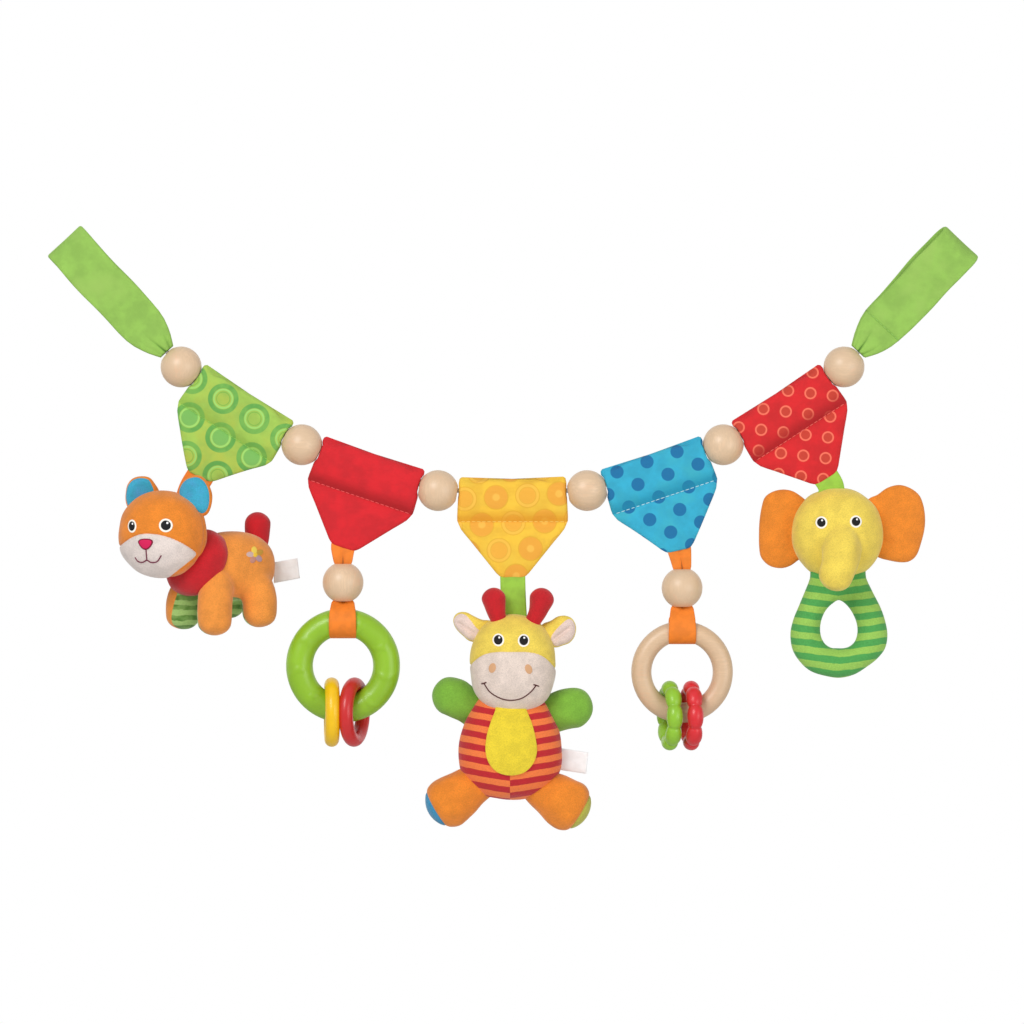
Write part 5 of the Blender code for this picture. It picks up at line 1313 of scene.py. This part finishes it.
elephant = {
    "head": mm3(178.8, 3.0, -159.4), "headHalf": mm3(25.2, 22.0, 25.2),
    # the trunk's path from the head's middle
    "trunk": [(1.2, -9.0, 1.0), (1.1, -18.0, -6.2), (0.2, -23.2, -14.1), (-2.4, -24.8, -22.6),
              (-5.2, -25.2, -30.8)],
    "trunkHalves": [(9.0, 10.0), (10.4, 11.0), (10.4, 10.8), (9.4, 10.0), (8.7, 9.2)],
    "leftEar": {
        "outline": [(163.8, -143.2), (161.6, -141.3), (158.5, -138.7), (154.0, -136.0), (148.7, -135.1),
                    (143.1, -136.3), (138.8, -139.4), (137.0, -144.7), (135.9, -151.5), (135.5, -158.3),
                    (135.6, -166.6), (136.8, -172.6), (141.2, -177.0), (147.2, -178.4), (152.5, -177.2),
                    (157.4, -173.8), (163.8, -169.6)],
        "depth": 6.0, "thick": 4.4, "lean": (-0.12, 0),
        "creases": [((151.5, -150.0), (153.0, -164.0), 0.8, 2.2)]},
    "rightEar": {
        "outline": [(194.0, -144.0), (196.3, -140.0), (200.8, -137.9), (206.1, -134.2), (212.5, -132.6),
                    (218.5, -134.2), (223.4, -137.9), (225.8, -143.2), (226.9, -150.0), (226.6, -156.8),
                    (224.8, -164.3), (222.3, -171.1), (218.5, -174.5), (213.6, -175.2), (206.8, -174.1),
                    (200.8, -172.3), (194.8, -168.1)],
        "depth": 6.0, "thick": 4.4, "lean": (0.12, 0),
        "creases": [((203.0, -161.6), (208.5, -163.2), 1.3, 1.0),
                    ((204.0, -150.0), (206.5, -158.0), 0.5, 2.4)]},
    # the handle's outer and inner outlines on the picture
    "outer": [(179.3, -174.5), (186.5, -174.8), (193.4, -177.6), (194.6, -184.0), (198.1, -191.5),
              (202.3, -199.8), (204.9, -207.3), (206.2, -214.9), (204.9, -222.4), (200.8, -227.9),
              (195.5, -232.2), (188.0, -236.8), (179.7, -238.7), (171.4, -237.5), (163.8, -234.9),
              (158.2, -230.0), (154.0, -223.2), (152.8, -214.9), (154.2, -207.3), (157.2, -199.8),
              (161.0, -190.7), (163.5, -184.0), (164.6, -177.6), (172.1, -174.8)],
    "inner": [(179.5, -196.0), (183.4, -198.3), (186.8, -202.8), (189.1, -208.1), (189.7, -213.4),
              (188.6, -217.9), (186.1, -220.9), (182.7, -222.3), (178.9, -222.4), (175.1, -222.1),
              (171.7, -219.8), (169.7, -216.0), (169.2, -211.1), (170.2, -205.8), (172.5, -201.3),
              (175.9, -197.9)],
    "handleDepth": 7.7, "handleAt": 3.0,
    "stripePeriod": 7.54 * mm, "stripePlace": (179.3 * mm, -204.6 * mm),
}
elephantHead = {"centre": elephant["head"], "half": elephant["headHalf"], "power": 2.12,
                "lumps": (14 * mm, 0.3 * mm, 41)}
trunkPath = elephant["head"] + np.array(elephant["trunk"]) * mm
parts = [addForm("elephant_head_part", elephantHead, None, 64, 100),
         loftAlong("elephant_trunk_part", trunkPath, np.array(elephant["trunkHalves"]) * mm, None,
                   (0.5, 0.8), across=(1, 0, 0), lumps=(11 * mm, 0.25 * mm, 43))]
face = fused("elephant_face_cloth", parts, plushOf["yellow"], 0.9 * mm, 12)
addPlush("elephant_head", "elephant", face)
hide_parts("elephant_trunk")
for side in ("left", "right"):
    addFlap(f"elephant_{side}_ear", "elephant", elephant[side + "Ear"], plushOf["orange"])


def handleRows():
    # sections round the hole: each is an oval between the inner and the outer outline
    outer, inner = (closedCurve(np.array(elephant[name]) * mm, 400) for name in ("outer", "inner"))
    middle = inner.mean(axis=0)
    turn = np.linspace(0, tau, 200, endpoint=False)
    ways = np.stack([np.cos(turn), np.sin(turn)], axis=-1)
    far, near = rimReach(outer, middle, middle + ways), rimReach(inner, middle, middle + ways)
    section = np.linspace(0, tau, 56, endpoint=False)[None, :]
    out = ((far + near)[:, None] + (far - near)[:, None] * np.cos(section)) / 2
    depth = elephant["handleAt"] * mm + elephant["handleDepth"] * mm * np.sin(section) * np.ones((200, 1))
    return fromPicture(middle + ways[:, None] * out[..., None], depth)


rows = uneven(handleRows(), 13 * mm, 0.3 * mm, 60)
handleCloth = plush("stripedHandle", (120, 190, 90), sheen=0.2,
                    paint=stripes(elephant["stripePeriod"], (82, 170, 84), (158, 208, 92), 0.13, 1.6 * mm,
                                  elephant["stripePlace"]))
handle = ringPiece("elephant_handle_cloth", rows, handleCloth)
addPlush("elephant_handle", "elephant", handle)
eyeAt("elephant_left_eye", "elephant", elephantHead, (169.9, -153.3), (2.35, 2.45), (0.2, 0.45))
eyeAt("elephant_right_eye", "elephant", elephantHead, (188.8, -152.8), (2.35, 2.45), (0.2, 0.45))
print("elephant")


# The cub, which looks to its left and stands with its rump away from the front

cub = {
    "head": mm3(-191.2, -14.0, -159.61), "headHalf": mm3(24.3, 22.6, 23.9), "face": math.radians(-30),
    "body": mm3(-154.76, 10.5, -177.2), "bodyHalf": mm3(25.0, 18.6, 19.2), "heading": math.radians(218),
    "neck": mm3(-173.3, -2.6, -175.4), "neckHalf": mm3(13.0, 19.4, 19.4), "neckRise": math.radians(-30),
    # each leg's place along the body, its side, how far it lies below the middle, and a shift to the right
    "legs": [(22.0, 1, -21.6, 1.0), (22.6, -1, -18.8, 0.0), (-9.8, 1, -17.6, -1.0), (-6.6, -1, -13.2, 0.0)],
    "legHalves": [(9.5, 12.0), (9.7, 10.4), (9.6, 9.8)],
    "leftEar": {
        "outline": [(-212.7, -136.5), (-211.7, -132.3), (-208.8, -129.0), (-204.2, -127.8), (-199.6, -128.6),
                    (-196.7, -131.9), (-194.4, -135.9), (-193.8, -140.4), (-199.2, -146.5), (-207.7, -148.1),
                    (-211.2, -145.8), (-212.8, -141.3)],
        "lining": [(-212.6, -136.9), (-211.5, -132.7), (-208.5, -129.6), (-204.4, -128.6), (-200.2, -129.5),
                   (-198.2, -132.6), (-197.2, -135.9), (-198.0, -140.4), (-203.0, -145.6), (-208.5, -147.2),
                   (-211.0, -145.2), (-212.6, -141.2)],
        "depth": -1.5, "thick": 3.9, "hollow": 1.2},
    "rightEar": {
        "outline": [(-183.9, -136.2), (-182.2, -131.7), (-179.0, -128.5), (-173.7, -127.2), (-169.7, -128.8),
                    (-166.9, -132.6), (-165.1, -138.4), (-165.9, -144.8), (-168.2, -149.0), (-172.2, -149.6),
                    (-178.4, -145.8), (-183.0, -140.4)],
        "lining": [(-183.6, -136.0), (-181.8, -131.8), (-178.7, -129.1), (-173.9, -128.1), (-170.4, -129.7),
                   (-167.9, -133.2), (-166.6, -137.9), (-166.9, -143.9), (-168.9, -147.8), (-172.2, -148.2),
                   (-177.6, -144.0), (-182.2, -140.0)],
        "depth": -17.0, "thick": 3.9, "hollow": 1.2},
    "tail": [mm3(-142.4, 22.8, -169.5), mm3(-141.6, 23.3, -160.0), mm3(-141.6, 23.5, -147.5)],
    "tailHalves": [(5.4, 5.6), (6.4, 6.6), (6.9, 7.1), (6.7, 6.8)],
    "label": [(-132.6, 22.4, -175.5), (-119.4, 22.0, -173.1), (-118.0, 22.4, -184.2), (-132.4, 22.5, -187.0)],
}


def turnedBy(angle):
    # a 3 by 3 turn about the upright axis
    c, s = math.cos(angle), math.sin(angle)
    return np.array([[c, -s, 0], [s, c, 0], [0, 0, 1]])


bodyTurn, faceTurn = turnedBy(cub["heading"]), turnedBy(cub["face"])
bodyForm = {"centre": cub["body"], "half": cub["bodyHalf"], "power": 2.25, "turn": bodyTurn}
parts = [addForm("cub_trunk_part", bodyForm, None, 60, 90)]
for number, (reach, side, drop, shift) in enumerate(cub["legs"]):
    # from inside the body down the leg to its round foot
    spread, aside = 13.5 * side, mm3(shift, 0, 0)
    top = cub["body"] + bodyTurn @ mm3(reach * 0.62, spread * 0.45, -3)
    middle = cub["body"] + bodyTurn @ mm3(reach, spread, drop + 1) + aside
    foot = cub["body"] + bodyTurn @ mm3(reach + 0.4, spread, drop - 16.5) + aside
    parts.append(loftAlong(f"cub_leg_{number + 1}_part", [top, middle, foot], np.array(cub["legHalves"]) * mm,
                           None, (0.9, 0.78), across=(1, 0, 0)))


def bodyFrame(points):
    return (points - cub["body"]) @ bodyTurn


def underside(tree, base):
    # the striped cloth between the legs: the seam runs down the middle of each leg and along the flanks
    _, across, up = partsOf(tree, markOf(tree, "onBody"))
    limit = addNode(tree, "ShaderNodeMapRange", {"Value": up, "From Min": -38 * mm, "From Max": -14 * mm,
                                                 "To Min": 14.2 * mm, "To Max": 8.0 * mm}).outputs[0]
    inside = calc(tree, "SUBTRACT", limit, calc(tree, "ABSOLUTE", across))
    inner = calc(tree, "MULTIPLY", edgeOf(tree, inside, -0.2 * mm, 0.2 * mm),
                 edgeOf(tree, up, -11.5 * mm, -12.5 * mm))
    wobble = calc(tree, "MULTIPLY", cloud(tree, onObject(tree), 7 * mm), 3.6 * mm)
    level = calc(tree, "ADD", up, wobble)
    phase = calc(tree, "SINE", calc(tree, "MULTIPLY", level, tau / (5.6 * mm)))
    patchy = edgeOf(tree, cloud(tree, onObject(tree), 6 * mm, 1.0), 0.4, 0.62)
    dark = mixed(tree, patchy, shade((128, 168, 84)), shade((92, 138, 52)))
    band = mixed(tree, edgeOf(tree, phase, -0.2, 0.35), shade((170, 206, 118)), dark)
    return mixed(tree, inner, base, band)


cubCloth = plush("cubOrange", (243, 152, 62), paint=underside)
flank = fused("cub_body_cloth", parts, cubCloth, 1.0 * mm, 34, "onBody", bodyFrame)
addPlush("cub_body", "cub", flank)
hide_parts("cub_front_near_leg", "cub_front_far_leg", "cub_rear_near_leg", "cub_rear_far_leg")
c, s = math.cos(cub["neckRise"]), math.sin(cub["neckRise"])
neckForm = {"centre": cub["neck"], "half": cub["neckHalf"], "power": 2.2,
            "turn": bodyTurn @ np.array([[c, 0, s], [0, 1, 0], [-s, 0, c]]), "lumps": (13 * mm, 0.3 * mm, 72)}
addPlush("cub_neck", "cub", addForm("cub_neck_cloth", neckForm, plushOf["red"], 56, 90))
cubHead = {"centre": cub["head"], "half": cub["headHalf"], "power": 2.12, "turn": faceTurn,
           "bulges": [((0.0, -0.8, -0.45), 0.25, 0.06)], "seams": [((0, 1, 0), 5 * mm, 0.7 * mm, 0.9 * mm)],
           "lumps": (14 * mm, 0.3 * mm, 73)}


def insideMuzzle(seen, points):
    # below the brow's arch, left of the cheek's edge and before the seam of the face panel: the least of the
    # three distances, softened so that the panel's corner is round
    away = seen[..., 0] / mm + 201.5
    arch = -159.4 - np.where(away > 0, 0.0135, 0.031) * away**2 - seen[..., 1] / mm
    cheek = (seen[..., 0] / mm + 173.2) * -0.62 + (seen[..., 1] / mm + 171.8) * 0.785
    panel = 3 - ((points - cub["head"]) @ faceTurn)[..., 1] / mm
    limits = np.clip(np.stack([arch, cheek, panel]), -30, 30)
    return -np.log(np.exp(-limits / 1.1).sum(axis=0)) * 1.1 * mm


outerSkin, innerSkin = splitSkin("cub_face", cubHead, insideMuzzle, plushOf["orange"],
                                 plush("muzzlePlush", (236, 222, 215), sheen=0.2))
addPlush("cub_head", "cub", outerSkin)
addPlush("cub_muzzle", "cub", innerSkin)
innerEar = plush("earBlue", (58, 172, 204), (88, 158, 216))
for side in ("left", "right"):
    addFlap(f"cub_{side}_ear", "cub", cub[side + "Ear"], plushOf["orange"], innerEar)
tail = loftAlong("cub_tail_cloth", cub["tail"], np.array(cub["tailHalves"]) * mm, plushOf["red"], (0.6, 0.9),
                 lumps=(10 * mm, 0.2 * mm, 74))
addPlush("cub_tail", "cub_tail", tail)
addLabel("cub_label", "cub", cub["label"], 0.7)
eyeAt("cub_left_eye", "cub", cubHead, (-209.2, -155.3), (1.65, 2.6))
eyeAt("cub_right_eye", "cub", cubHead, (-190.7, -154.9), (2.75, 2.7))
patch("cub_nose_edge", "cub", cubHead, oval((-201.8, -165.2), (3.7, 3.1), 0, 2.4, 0.42), 0.5, (120, 18, 48))
patch("cub_nose", "cub", cubHead, oval((-201.8, -165.1), (3.1, 2.5), 0, 2.4, 0.42), 0.9, (214, 30, 88))
for part, line, count in (
        ("line", [(-201.6, -167.5), (-201.4, -170.6), (-201.1, -173.8)], 20),
        ("left", [(-207.6, -172.4), (-205.9, -174.6), (-203.4, -175.1), (-201.1, -173.8)], 34),
        ("right", [(-201.1, -173.8), (-198.6, -175.2), (-195.4, -174.6), (-193.2, -171.3)], 34)):
    strokeOn("cub_mouth_" + part, "cub", cubHead, line, 0.34, (112, 30, 60), count)
# a small embroidered flower on the flank
flower = {
    "middle": (-141.6, -171.2), "reach": 2.7, "petal": (1.5, 2.1),
    "petals": [(196, 150, 60), (240, 208, 88), (206, 176, 168), (196, 138, 122), (178, 146, 156)],
}
for number, colour in enumerate(flower["petals"]):
    angle = tau * number / 5 + 0.5
    place = np.array(flower["middle"]) + flower["reach"] * np.array([math.cos(angle), math.sin(angle)])
    petal = oval(place, flower["petal"], angle + tau / 4)
    patch(f"cub_flower_petal_{number + 1}", "cub", bodyForm, petal, 0.35, colour)
patch("cub_flower_middle", "cub", bodyForm, oval(flower["middle"], (1.2, 1.2)), 0.55, (238, 196, 62))
print("cub")


stage = {
    "floorDrop": 0.48, "half": 3.0,
    "keyPower": 26.0, "keyPlace": (-0.9, -1.7, 0.9), "keySize": 1.1,
    "fillPower": 11.0, "fillPlace": (1.3, -1.5, -0.1), "fillSize": 1.3,
    "worldStrength": 0.42,
}


def addFloor():
    # a pale square, below what the camera shows at rest
    level = view["target"][2] - view["frameWidth"] / 2 - stage["floorDrop"]
    corners = np.array([[-1, -1, 0], [1, -1, 0], [1, 1, 0], [-1, 1, 0]]) * stage["half"] + (0, 0, level)
    ground, tree, shader = newFinish("paleFloor", 0.9)
    tree.links.new(mottled(tree, (244, 244, 243), 0.3, 0.004), shader.inputs["Base Color"])
    addMesh("floor", corners, [np.array([[0, 1, 2, 3]])], ground)


def addLamp(name, place, power, size):
    # a round soft lamp that points at the toy's middle
    light = bpy.data.lights.new(name, "AREA")
    light.energy, light.shape, light.size = power, "DISK", size
    lamp = addObject(name, light)
    lamp.location = place
    lamp.rotation_euler = (Vector(view["target"]) - lamp.location).to_track_quat("-Z", "Y").to_euler()


def addCamera():
    lens = bpy.data.cameras.new("camera")
    lens.sensor_width = view["sensor"]
    lens.lens = view["sensor"] * view["distance"] / view["frameWidth"]
    camera = addObject("camera", lens)
    camera.location = Vector(view["target"]) + Vector((0, -view["distance"], 0))
    camera.rotation_euler = (math.pi / 2, 0, 0)
    bpy.context.scene.camera = camera


def addWorld():
    # a pale soft light that is white to the camera and in reflections
    world = bpy.data.worlds.new("softWorld")
    bpy.context.scene.world = world
    world.use_nodes = True
    tree = world.node_tree
    soft = tree.nodes["Background"]
    soft.inputs["Color"].default_value = shade((252, 252, 252))
    soft.inputs["Strength"].default_value = stage["worldStrength"]
    white = addNode(tree, "ShaderNodeBackground", {"Color": shade((255, 255, 255)), "Strength": 1.0})
    path = addNode(tree, "ShaderNodeLightPath").outputs
    seen = calc(tree, "MAXIMUM", path["Is Camera Ray"], calc(tree, "MAXIMUM", path["Is Glossy Ray"],
                                                             path["Is Transmission Ray"]))
    blend = addNode(tree, "ShaderNodeMixShader", {0: seen, 1: soft.outputs[0], 2: white.outputs[0]})
    tree.links.new(blend.outputs[0], tree.nodes["World Output"].inputs[0])


addFloor()
addLamp("key", stage["keyPlace"], stage["keyPower"], stage["keySize"])
addLamp("fill", stage["fillPlace"], stage["fillPower"], stage["fillSize"])
addCamera()
addWorld()
bpy.context.scene.view_settings.view_transform = "Standard"
print("stage")
